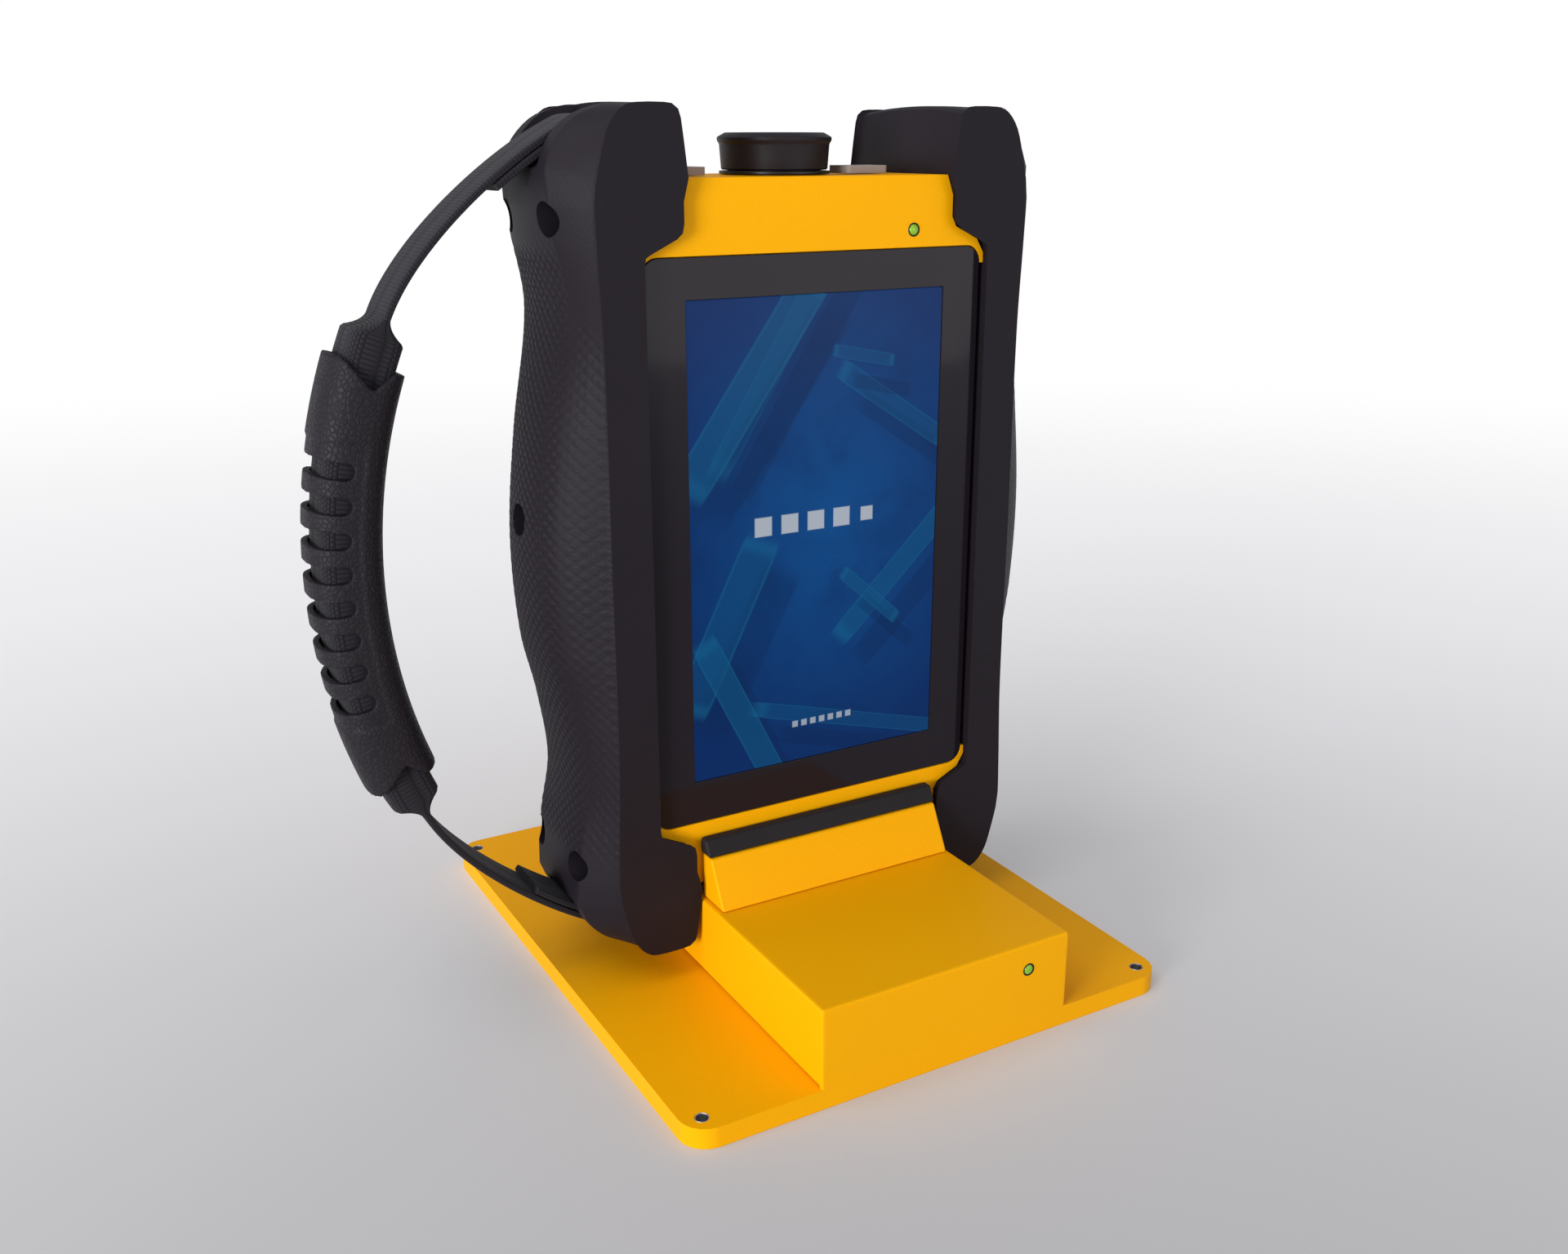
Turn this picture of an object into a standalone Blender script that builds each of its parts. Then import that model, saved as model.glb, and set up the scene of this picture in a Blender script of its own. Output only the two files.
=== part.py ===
"""Handheld data collector standing in its charging dock.

The dock is a bolt-down plate with a hollow housing, front and rear rests, a sprung contact block and a
power inlet. The handheld is a sealed housing with a tall display, two side grips held by five screws
each, a round data connector under a cap, two port covers, a power button and a strap with a handle.
The origin is the middle of the plate's underside. The front faces -Y and the strap is on the -X side.
"""
import math

import bmesh
import bpy
from mathutils import Matrix, Vector

MM = 0.001

# Clearances
GAP = 0.3 * MM              # between pieces that touch
SCREW_GAP = 0.3 * MM        # round a screw's shank
SLEEVE_GAP = 0.4 * MM       # round the handle's core
SWING_GAP = 0.6 * MM        # between the handle's necks and the straps

# Dock
PLATE_WIDTH = 176 * MM
PLATE_DEPTH = 208 * MM
PLATE_THICK = 6.7 * MM
PLATE_CORNER = 9 * MM
PLATE_HOLE = 2.3 * MM       # radius
PLATE_HOLE_INSET = 6.4 * MM
DOCK_WIDTH = 91.4 * MM
DOCK_TOP = 33.3 * MM
DOCK_REAR = 46 * MM
DOCK_WALL = 3 * MM
DOCK_EDGE = 1.2 * MM
REST_WIDTH = 88.2 * MM
REST_LOW_DEPTH = 14.4 * MM
REST_TOP_DEPTH = 6.1 * MM
REST_HEIGHT = 15.4 * MM
REST_PAD_HEIGHT = 5.4 * MM
REST_GAP = 0.8 * MM         # from a rest to the handheld
SEAT_PAD = (9 * MM, 30 * MM)
SEAT_PAD_X = 34 * MM
DOCK_SCREW_X = 37 * MM
DOCK_SCREW_INSET = 13 * MM
CONTACT_COUNT = 6
CONTACT_PITCH = 3.6 * MM
CONTACT_TRAVEL = 1.0 * MM
LED_RADIUS = 1.9 * MM
DOCK_LED_X = 29.7 * MM
DOCK_LED_Z = DOCK_TOP - 8.8 * MM

# Handheld housing
UNIT_MID_Y = 2 * MM
UNIT_HEIGHT = 222.6 * MM
UNIT_DEPTH = 53.2 * MM
UNIT_WIDTH = 122 * MM
UNIT_MID_Z = DOCK_TOP + 4.6 * MM + UNIT_HEIGHT / 2
NECK_WIDTH = UNIT_WIDTH - 25.2 * MM         # beyond the grips' shoulders
NECK_TOP_WIDTH = UNIT_WIDTH - 28.4 * MM
SHOULDER = UNIT_HEIGHT / 2 - 19.7 * MM      # from the middle up to the outer end of the shoulder
SHOULDER_RISE = 4.0 * MM
HOUSING_WALL = 3 * MM
REAR_COVER_DEPTH = 7.2 * MM
GASKET_THICK = 1.0 * MM

# Display
GLASS_WIDTH = UNIT_WIDTH - 2.8 * MM
GLASS_HEIGHT = UNIT_HEIGHT - 43.8 * MM
GLASS_CORNER = 5.3 * MM
GLASS_THICK = 2.0 * MM
SCREEN_WIDTH = GLASS_WIDTH - 27.76 * MM     # 91.44 by 152.4 mm is the lit area of a 7 inch panel
SCREEN_HEIGHT = GLASS_HEIGHT - 26.4 * MM
SCREEN_MID_Z = UNIT_MID_Z + 0.9 * MM
PANEL_BORDER = 4 * MM
PANEL_THICK = 5 * MM
UNIT_LED_X = 33.8 * MM
UNIT_LED_DROP = 16.3 * MM   # below the housing's top

# Top fittings
CONNECTOR_Y = 4 * MM
CONNECTOR_RADIUS = 14.6 * MM
CONNECTOR_WALL = 1.8 * MM
CONNECTOR_HEIGHT = 9 * MM
FLANGE_RADIUS = 17.4 * MM
FLANGE_THICK = 0.9 * MM
CAP_RADIUS = 17.9 * MM
CAP_WAIST = 16.8 * MM
CAP_HEIGHT = 11 * MM
CAP_TOP = 1.6 * MM
COVER_SIZE = (14.9 * MM, 12 * MM, 2.4 * MM)
COVER_Y = -2 * MM
LEFT_COVER_X = -37.4 * MM
RIGHT_COVER_X = 27.2 * MM
BUTTON_RADIUS = 4.2 * MM
BUTTON_X = 35 * MM
BUTTON_Y = 13 * MM
BUTTON_RISE = 1.2 * MM
BUTTON_TRAVEL = 0.8 * MM

# Grips
GRIP_FRONT = 3.7 * MM       # proud of the housing, front and back
GRIP_RISE = 18.8 * MM       # above the housing's top at the front edge
GRIP_CROWN = 1.9 * MM
RIDGE_INSET = 12.6 * MM     # from the grip's front face back to its side ridge
FACE_EDGE = UNIT_WIDTH / 2 + 11.4 * MM      # outer edge of the front face
RECESS_RADIUS = 5 * MM
HEAD_RADIUS = 3.5 * MM
HEAD_HEIGHT = 4 * MM
SHANK_RADIUS = 2 * MM
SCREW_Y = 15.3 * MM         # from the grip's middle
SCREW_Z = UNIT_HEIGHT / 2 - 10.9 * MM
MIDDLE_SCREW_Z = 11.8 * MM
END_RECESS_FLOOR = UNIT_WIDTH / 2 + 13 * MM
MIDDLE_RECESS_FLOOR = UNIT_WIDTH / 2 + 18 * MM

# Strap and handle
STRAP_WIDTH = 20 * MM
STRAP_THICK = 2.5 * MM
BAR_RADIUS = 2.2 * MM
BAR_X = UNIT_WIDTH / 2 + 7 * MM
BAR_RISE = UNIT_HEIGHT / 2 + 13.1 * MM      # above the handheld's middle
BAR_SOCKET = 3.2 * MM
SADDLE_WIDTH = 23.2 * MM
SADDLE_FLARE = 3.4 * MM     # of the saddle's mouth, on each side
SADDLE_INNER = UNIT_WIDTH / 2 - 0.5 * MM
SADDLE_OUTER = UNIT_WIDTH / 2 + 43 * MM
STRAP_REACH = 22 * MM       # how stiffly the strap leaves its bar and the handle
HANDLE_RADIUS = UNIT_HEIGHT - 45.6 * MM     # of the handle's bend
HANDLE_OUT = UNIT_WIDTH / 2 + 83.7 * MM     # from the middle of the object to the middle of the handle
SLEEVE_HALF = (11.1 * MM, 12.8 * MM)
SLEEVE_WALL = 2.4 * MM
SLEEVE_SPAN = math.radians(20.6)
CORE_SPAN = math.radians(23.2)
NECK_LENGTH = 6.5 * MM
SLOT_COUNT = 8
SLOT_PITCH = 9.7 * MM
SLOT_HEIGHT = 4.1 * MM
SLOT_DEPTH = 10.9 * MM

# Levels worked out from the sizes above
HOUSING_TOP = UNIT_MID_Z + UNIT_HEIGHT / 2
HOUSING_BOTTOM = UNIT_MID_Z - UNIT_HEIGHT / 2
FRONT = UNIT_MID_Y - UNIT_DEPTH / 2
BACK = UNIT_MID_Y + UNIT_DEPTH / 2
SPLIT = BACK - REAR_COVER_DEPTH
PLATE_FRONT = -PLATE_DEPTH / 2
HOUSING_FLOOR = PLATE_THICK + GAP


def material(name, colour, roughness, metallic=0.0):
    look = bpy.data.materials.new(name)
    look.use_nodes = True
    shader = look.node_tree.nodes["Principled BSDF"]
    shader.inputs["Base Color"].default_value = (*colour, 1)
    shader.inputs["Roughness"].default_value = roughness
    shader.inputs["Metallic"].default_value = metallic
    return look


def add_object(name, shape, look):
    """Turns a bmesh into an object with outward faces and smooth round sides."""
    bmesh.ops.recalc_face_normals(shape, faces=shape.faces)
    mesh = bpy.data.meshes.new(name)
    shape.to_mesh(mesh)
    shape.free()
    mesh.shade_smooth()
    mesh.set_sharp_from_angle(angle=math.radians(35))
    if look:
        mesh.materials.append(look)
    piece = bpy.data.objects.new(name, mesh)
    bpy.context.scene.collection.objects.link(piece)
    return piece


def block(name, low, high, look=None, edge=0.0):
    shape = bmesh.new()
    bmesh.ops.create_cube(shape, size=1)
    size = Vector(high) - Vector(low)
    bmesh.ops.scale(shape, vec=size, verts=shape.verts)
    bmesh.ops.translate(shape, vec=(Vector(low) + Vector(high)) / 2, verts=shape.verts)
    piece = add_object(name, shape, look)
    if edge:
        bevel = piece.modifiers.new("edge", "BEVEL")
        bevel.width = edge
        bevel.segments = 2
    return piece


def placed(plane, a, b, depth):
    return {"XY": (a, b, depth), "XZ": (a, depth, b), "YZ": (depth, a, b)}[plane]


def prism(name, outline, plane, low, high, look=None):
    """A closed outline in a plane, extruded from low to high along the plane's normal."""
    shape = bmesh.new()
    face = shape.faces.new([shape.verts.new(placed(plane, a, b, low)) for a, b in outline])
    made = bmesh.ops.extrude_face_region(shape, geom=[face])["geom"]
    moved = [item for item in made if isinstance(item, bmesh.types.BMVert)]
    bmesh.ops.translate(shape, vec=placed(plane, 0, 0, high - low), verts=moved)
    return add_object(name, shape, look)


def loft(name, rings, look=None):
    """Rings with equal numbers of points, bridged in order and closed at both ends."""
    shape = bmesh.new()
    rows = [[shape.verts.new(point) for point in ring] for ring in rings]
    count = len(rows[0])
    for row, following in zip(rows, rows[1:]):
        for i in range(count):
            j = (i + 1) % count
            shape.faces.new((row[i], row[j], following[j], following[i]))
    shape.faces.new(rows[0])
    shape.faces.new(rows[-1])
    return add_object(name, shape, look)


def turned(name, profile, centre, axis, look=None, steps=32):
    """A closed profile of (radius, height) points turned about an axis through centre."""
    shape = bmesh.new()
    start = [shape.verts.new((radius, 0, height)) for radius, height in profile]
    edges = [shape.edges.new((start[i], start[(i + 1) % len(start)])) for i in range(len(start))]
    bmesh.ops.spin(
        shape, geom=start + edges, cent=(0, 0, 0), axis=(0, 0, 1), angle=2 * math.pi, steps=steps,
        use_merge=True, use_duplicate=False,
    )
    bmesh.ops.remove_doubles(shape, verts=shape.verts, dist=1e-6)
    bmesh.ops.dissolve_degenerate(shape, edges=shape.edges, dist=1e-7)
    turn = Vector((0, 0, 1)).rotation_difference(Vector(axis)).to_matrix().to_4x4()
    bmesh.ops.transform(shape, matrix=Matrix.Translation(centre) @ turn, verts=shape.verts)
    return add_object(name, shape, look)


def rod(name, start, end, radius, look=None, steps=20):
    """A round bar between two points."""
    length = (Vector(end) - Vector(start)).length
    profile = [(0, 0), (radius, 0), (radius, length), (0, length)]
    return turned(name, profile, start, Vector(end) - Vector(start), look, steps)


def helper(piece):
    piece.hide_render = True
    piece.display_type = "WIRE"
    return piece


def boolean(target, tool, operation):
    modifier = target.modifiers.new(tool.name, "BOOLEAN")
    modifier.operation = operation
    modifier.solver = "EXACT"
    modifier.object = helper(tool)


def cut(target, *tools):
    for tool in tools:
        boolean(target, tool, "DIFFERENCE")
    return target


def fuse(target, *tools):
    for tool in tools:
        boolean(target, tool, "UNION")
    return target


def round_corner(centre, radius, start, end, steps):
    """Points on an arc from one angle to another, in degrees."""
    angles = [math.radians(start + (end - start) * i / steps) for i in range(steps + 1)]
    return [(centre[0] + radius * math.cos(a), centre[1] + radius * math.sin(a)) for a in angles]


def rounded_rectangle(width, height, radius, middle=(0, 0), steps=5):
    points = []
    for index, (side_x, side_y) in enumerate(((1, 1), (-1, 1), (-1, -1), (1, -1))):
        centre = (
            middle[0] + side_x * (width / 2 - radius),
            middle[1] + side_y * (height / 2 - radius),
        )
        points += round_corner(centre, radius, 90 * index, 90 * index + 90, steps)
    return points


def smooth(knots, value):
    """A smooth curve through (position, height) knots, by Catmull-Rom pieces."""
    knots = sorted(knots)
    value = min(max(value, knots[0][0]), knots[-1][0])
    index = max(i for i, knot in enumerate(knots[:-1]) if knot[0] <= value)
    before, start, end, after = (knots[min(max(index + k, 0), len(knots) - 1)] for k in (-1, 0, 1, 2))
    span = end[0] - start[0]
    share = (value - start[0]) / span
    slope_in = (end[1] - before[1]) / (end[0] - before[0]) * span
    slope_out = (after[1] - start[1]) / (after[0] - start[0]) * span
    cube, square = share ** 3, share ** 2
    return (
        (2 * cube - 3 * square + 1) * start[1] + (cube - 2 * square + share) * slope_in
        + (3 * square - 2 * cube) * end[1] + (cube - square) * slope_out
    )


def joint_at(name, place, pieces):
    """An empty on a joint's axis, which carries the pieces that move about it."""
    empty = bpy.data.objects.new(name, None)
    empty.empty_display_size = 0.01
    bpy.context.scene.collection.objects.link(empty)
    empty.location = place
    inverse = Matrix.Translation(place).inverted()
    for piece in pieces:
        piece.parent = empty
        piece.matrix_parent_inverse = inverse


def socket_screw(name, tip, head, look):
    """A screw along the line from its tip to the top of its head, with a hexagonal socket."""
    length = (Vector(head) - Vector(tip)).length
    profile = [
        (0, 0), (SHANK_RADIUS, 0.6 * MM), (SHANK_RADIUS, length - HEAD_HEIGHT),
        (HEAD_RADIUS, length - HEAD_HEIGHT), (HEAD_RADIUS, length), (0, length),
    ]
    direction = Vector(head) - Vector(tip)
    screw = turned(name, profile, tip, direction, look, 12)
    key_end = Vector(head) + direction.normalized() * MM
    key_start = Vector(head) - direction.normalized() * 2 * MM
    return cut(screw, rod(name + "_key", key_start, key_end, 1.7 * MM, None, 6))


# ---------------------------------------------------------------- dock

def plate_holes():
    x = PLATE_WIDTH / 2 - PLATE_HOLE_INSET
    y = PLATE_DEPTH / 2 - PLATE_HOLE_INSET
    return [(side_x * x, side_y * y) for side_x in (-1, 1) for side_y in (-1, 1)]


def dock_screw_places():
    rows = (PLATE_FRONT + DOCK_SCREW_INSET, DOCK_REAR - DOCK_SCREW_INSET)
    return [(side * DOCK_SCREW_X, y) for side in (-1, 1) for y in rows]


def make_base_plate():
    outline = rounded_rectangle(PLATE_WIDTH, PLATE_DEPTH, PLATE_CORNER)
    plate = prism("dock_base_plate", outline, "XY", 0, PLATE_THICK, PAINT)
    for index, (x, y) in enumerate(plate_holes()):
        cut(plate, rod(f"mounting_hole_{index}", (x, y, -MM), (x, y, PLATE_THICK + MM), PLATE_HOLE))
    for index, (x, y) in enumerate(dock_screw_places()):
        head = HEAD_RADIUS + SCREW_GAP
        shank = SHANK_RADIUS + SCREW_GAP
        cut(
            plate,
            rod(f"head_pocket_{index}", (x, y, -MM), (x, y, HEAD_HEIGHT + 0.8 * MM), head),
            rod(f"shank_hole_{index}", (x, y, MM), (x, y, PLATE_THICK + MM), shank, None, 12),
        )
    return plate


def make_dock_housing():
    half = DOCK_WIDTH / 2
    housing = block(
        "dock_housing", (-half, PLATE_FRONT, HOUSING_FLOOR), (half, DOCK_REAR, DOCK_TOP), PAINT, DOCK_EDGE
    )
    inner = half - DOCK_WALL
    hollow_low = (-inner, PLATE_FRONT + DOCK_WALL, 0)
    hollow = block("dock_hollow", hollow_low, (inner, DOCK_REAR - DOCK_WALL, DOCK_TOP - DOCK_WALL))
    cut(housing, hollow)
    for index, (x, y) in enumerate(dock_screw_places()):
        post = rod(f"screw_post_{index}", (x, y, HOUSING_FLOOR), (x, y, DOCK_TOP - MM), 4.5 * MM)
        fuse(housing, post)
        top = PLATE_THICK + 15 * MM
        cut(housing, rod(f"post_hole_{index}", (x, y, 0), (x, y, top), SHANK_RADIUS + SCREW_GAP, None, 12))
    low, high = connector_block_box()
    opening_low = (low[0] - GAP, low[1] - GAP, DOCK_TOP - 2 * DOCK_WALL)
    cut(housing, block("contact_opening", opening_low, (high[0] + GAP, high[1] + GAP, DOCK_TOP + MM)))
    led = (DOCK_LED_X, PLATE_FRONT, DOCK_LED_Z)
    front_point = (led[0], led[1] - MM, led[2])
    rear_point = (led[0], led[1] + DOCK_WALL + MM, led[2])
    cut(housing, rod("dock_led_hole", front_point, rear_point, LED_RADIUS + GAP / 2))
    low, high = inlet_box()
    opening_low = (low[0] - GAP, DOCK_REAR - 2 * DOCK_WALL, low[2] - GAP)
    cut(housing, block("inlet_opening", opening_low, (high[0] + GAP, DOCK_REAR + MM, high[2] + GAP)))
    return housing


def rest_outline(front_face):
    """Side outlines of a rest and of its pad, leaning away from the handheld's face."""
    away = -1 if front_face < UNIT_MID_Y else 1
    inner = front_face + away * REST_GAP
    foot = DOCK_TOP + GAP
    top = foot + REST_HEIGHT
    rest = [
        (inner, foot), (inner, top),
        (inner + away * REST_TOP_DEPTH, top), (inner + away * REST_LOW_DEPTH, foot),
    ]
    lean = (REST_LOW_DEPTH - REST_TOP_DEPTH) / REST_HEIGHT
    pad_foot = top + GAP
    pad_top = pad_foot + REST_PAD_HEIGHT
    outer_foot = inner + away * (REST_TOP_DEPTH - lean * GAP)
    outer_top = inner + away * (REST_TOP_DEPTH - lean * (REST_PAD_HEIGHT + GAP))
    nose = inner - away * (REST_GAP - GAP)
    pad = [(nose, pad_foot), (nose, pad_top), (outer_top, pad_top), (outer_foot, pad_foot)]
    return rest, pad


def make_rests():
    for place, face in (("front", FRONT), ("rear", BACK)):
        rest, pad = rest_outline(face)
        half = REST_WIDTH / 2
        prism(f"{place}_rest", rest, "YZ", -half, half, PAINT)
        strip = prism(f"{place}_rest_pad", pad, "YZ", -half - 0.4 * MM, half + 0.4 * MM, RUBBER)
        bevel = strip.modifiers.new("edge", "BEVEL")
        bevel.width = 0.7 * MM
        bevel.segments = 2


def make_seat_pads():
    for side, label in ((-1, "left"), (1, "right")):
        low = (side * SEAT_PAD_X - SEAT_PAD[0] / 2, UNIT_MID_Y - SEAT_PAD[1] / 2, DOCK_TOP + GAP)
        high = (side * SEAT_PAD_X + SEAT_PAD[0] / 2, UNIT_MID_Y + SEAT_PAD[1] / 2, HOUSING_BOTTOM - GAP)
        block(f"{label}_seat_pad", low, high, RUBBER, 0.5 * MM)


def connector_block_box():
    half = CONTACT_COUNT * CONTACT_PITCH / 2 + 3 * MM
    low = (-half, UNIT_MID_Y - 5 * MM, DOCK_TOP - 9 * MM)
    return low, (half, UNIT_MID_Y + 5 * MM, HOUSING_BOTTOM - 1.4 * MM)


def contact_tips():
    """The middles of the contacts along X."""
    return [(index - (CONTACT_COUNT - 1) / 2) * CONTACT_PITCH for index in range(CONTACT_COUNT)]


def make_contacts():
    low, high = connector_block_box()
    holder = block("contact_block", low, high, PLASTIC, 0.5 * MM)
    tip = HOUSING_BOTTOM - 0.1 * MM
    shoulder = high[2] - 3.5 * MM
    heel = shoulder - 1.6 * MM
    half_bar = CONTACT_COUNT * CONTACT_PITCH / 2
    slot_low = (-half_bar - GAP, UNIT_MID_Y - 1.4 * MM, heel - CONTACT_TRAVEL - GAP)
    cut(holder, block("contact_slot", slot_low, (half_bar + GAP, UNIT_MID_Y + 1.4 * MM, high[2] + MM)))
    outline = [(-half_bar, heel), (half_bar, heel), (half_bar, shoulder)]
    for x in reversed(contact_tips()):
        near, far = x + 0.7 * MM, x - 0.7 * MM
        outline += [(near, shoulder), (near, tip), (far, tip), (far, shoulder)]
    outline.append((-half_bar, shoulder))
    contacts = prism("dock_contacts", outline, "XZ", UNIT_MID_Y - 0.8 * MM, UNIT_MID_Y + 0.8 * MM, GOLD)
    joint_at("contact_spring", (0, UNIT_MID_Y, heel), [contacts])


def make_dock_board():
    low, high = connector_block_box()
    top = low[2] - GAP
    inner = DOCK_SCREW_X - 6 * MM
    board = block("dock_circuit_board", (-inner, -60 * MM, top - 1.6 * MM), (inner, 26 * MM, top), BOARD)
    chip = block("dock_chip", (-12 * MM, -42 * MM, top - MM), (2 * MM, -28 * MM, top + 1.8 * MM))
    coil = block("dock_coil", (8 * MM, -50 * MM, top - MM), (20 * MM, -38 * MM, top + 4 * MM))
    return fuse(board, chip, coil)


def make_dock_led():
    lens = turned(
        "dock_status_led",
        [(0, 0), (LED_RADIUS + 0.8 * MM, 0), (LED_RADIUS + 0.8 * MM, 1.5 * MM),
         (LED_RADIUS - GAP / 2, 1.5 * MM), (LED_RADIUS - GAP / 2, DOCK_WALL + 1.6 * MM),
         (0.6 * LED_RADIUS, DOCK_WALL + 2.2 * MM),
         (0, DOCK_WALL + 2.4 * MM)],
        (DOCK_LED_X, PLATE_FRONT + DOCK_WALL + 1.8 * MM, DOCK_LED_Z), (0, -1, 0), LED, 20,
    )
    return lens


def inlet_box():
    low = (-31 * MM, DOCK_REAR - 13 * MM, PLATE_THICK + 2.3 * MM)
    return low, (-21 * MM, DOCK_REAR - 0.2 * MM, PLATE_THICK + 13.3 * MM)


def make_power_inlet():
    low, high = inlet_box()
    inlet = block("power_inlet", low, high, PLASTIC, 0.4 * MM)
    x, z = (low[0] + high[0]) / 2, (low[2] + high[2]) / 2
    bore = turned(
        "inlet_bore",
        [(MM, 0), (2.9 * MM, 0), (2.9 * MM, 12 * MM), (MM, 12 * MM)],
        (x, high[1] - 10 * MM, z), (0, 1, 0), None, 20,
    )
    return cut(inlet, bore)


def make_dock_screws():
    for index, (x, y) in enumerate(dock_screw_places()):
        tip = (x, y, PLATE_THICK + 13 * MM)
        socket_screw(f"dock_screw_{index + 1}", tip, (x, y, 0.8 * MM), STEEL)


# ---------------------------------------------------------------- handheld housing

def housing_side(clearance=0.0):
    """Half of the housing's outline as (x, height above the middle), from the top down to the middle."""
    top = UNIT_HEIGHT / 2
    return [
        (NECK_TOP_WIDTH / 2 + clearance, top),
        (NECK_WIDTH / 2 + clearance, top - 6.1 * MM),
        (NECK_WIDTH / 2 + clearance, SHOULDER + SHOULDER_RISE + 3 * MM + clearance),
        (NECK_WIDTH / 2 + 1.6 * MM + clearance, SHOULDER + SHOULDER_RISE + clearance),
        (UNIT_WIDTH / 2 - 2.7 * MM + clearance, SHOULDER + clearance),
        (UNIT_WIDTH / 2 + clearance, SHOULDER - 4.4 * MM + clearance),
    ]


def housing_outline(inset=0.0):
    upper = [(x - inset, height - inset) for x, height in housing_side()]
    right = upper + [(x, -height) for x, height in reversed(upper)]
    left = [(-x, height) for x, height in reversed(right)]
    return [(x, UNIT_MID_Z + height) for x, height in right + left]


def display_cavity():
    """Cutters for the glass's recess and for the window behind it."""
    middle = (0, UNIT_MID_Z)
    glass = rounded_rectangle(GLASS_WIDTH + 2 * GAP, GLASS_HEIGHT + 2 * GAP, GLASS_CORNER, middle)
    floor = FRONT + GLASS_THICK + GAP
    recess = prism("glass_recess", glass, "XZ", FRONT - MM, floor)
    straight = GLASS_HEIGHT / 2 - GLASS_CORNER
    half = UNIT_WIDTH / 2 + MM
    grooves = block(
        "side_grooves", (-half, FRONT - MM, UNIT_MID_Z - straight), (half, floor, UNIT_MID_Z + straight)
    )
    width = SCREEN_WIDTH / 2 + PANEL_BORDER + GAP
    height = SCREEN_HEIGHT / 2 + PANEL_BORDER + GAP
    window_low = (-width, FRONT, SCREEN_MID_Z - height)
    window = block("display_window", window_low, (width, floor + 2 * HOUSING_WALL, SCREEN_MID_Z + height))
    return recess, grooves, window


def make_main_housing():
    housing = prism("main_housing", housing_outline(), "XZ", FRONT, SPLIT - GAP, PAINT)
    floor = FRONT + GLASS_THICK + GAP + HOUSING_WALL
    cut(housing, prism("housing_hollow", housing_outline(HOUSING_WALL), "XZ", floor, SPLIT + MM))
    cut(housing, *display_cavity())
    led = (UNIT_LED_X, FRONT, HOUSING_TOP - UNIT_LED_DROP)
    start, end = (led[0], led[1] - MM, led[2]), (led[0], floor + MM, led[2])
    cut(housing, rod("unit_led_hole", start, end, LED_RADIUS + GAP / 2))
    above, below = HOUSING_TOP + MM, HOUSING_TOP - 2 * HOUSING_WALL
    hole_foot = (0, CONNECTOR_Y, below)
    cut(
        housing,
        rod("connector_hole", hole_foot, (0, CONNECTOR_Y, above), CONNECTOR_RADIUS + GAP, steps=32),
        rod("button_hole", (BUTTON_X, BUTTON_Y, below), (BUTTON_X, BUTTON_Y, above), BUTTON_RADIUS + GAP),
    )
    for label, x in (("left", LEFT_COVER_X), ("right", RIGHT_COVER_X)):
        low, high = port_box(x)
        opening_low = (low[0] - GAP, low[1] - GAP, below)
        cut(housing, block(f"{label}_port_opening", opening_low, (high[0] + GAP, high[1] + GAP, above)))
    low, high = contact_plate_box()
    pocket_low = (low[0] - GAP, low[1] - GAP, HOUSING_BOTTOM - MM)
    cut(housing, block("contact_plate_pocket", pocket_low, (high[0] + GAP, high[1] + GAP, high[2] + GAP)))
    for index, (tip, head) in enumerate(grip_screw_lines()):
        for side in (-1, 1):
            start = (side * (tip[0] - 2 * MM), tip[1], tip[2])
            end = (side * (UNIT_WIDTH / 2 + MM), head[1], head[2])
            cut(housing, rod(f"thread_{index}_{side}", start, end, SHANK_RADIUS + SCREW_GAP, None, 12))
    return housing


def battery_door_size():
    return 74 * MM, 118 * MM


def make_rear_cover():
    cover = prism("rear_cover", housing_outline(), "XZ", SPLIT + GASKET_THICK, BACK, PAINT)
    cut(cover, prism("cover_hollow", housing_outline(HOUSING_WALL), "XZ", SPLIT, BACK - HOUSING_WALL))
    width, height = battery_door_size()
    opening = rounded_rectangle(width + 2 * GAP, height + 2 * GAP, 4 * MM, (0, UNIT_MID_Z), 3)
    return cut(cover, prism("battery_opening", opening, "XZ", SPLIT, BACK + MM))


def make_gasket():
    gasket = prism("housing_gasket", housing_outline(0.4 * MM), "XZ", SPLIT, SPLIT + GASKET_THICK - GAP, RUBBER)
    inner = housing_outline(HOUSING_WALL - 0.4 * MM)
    return cut(gasket, prism("gasket_middle", inner, "XZ", SPLIT - MM, SPLIT + 2 * MM))


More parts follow.
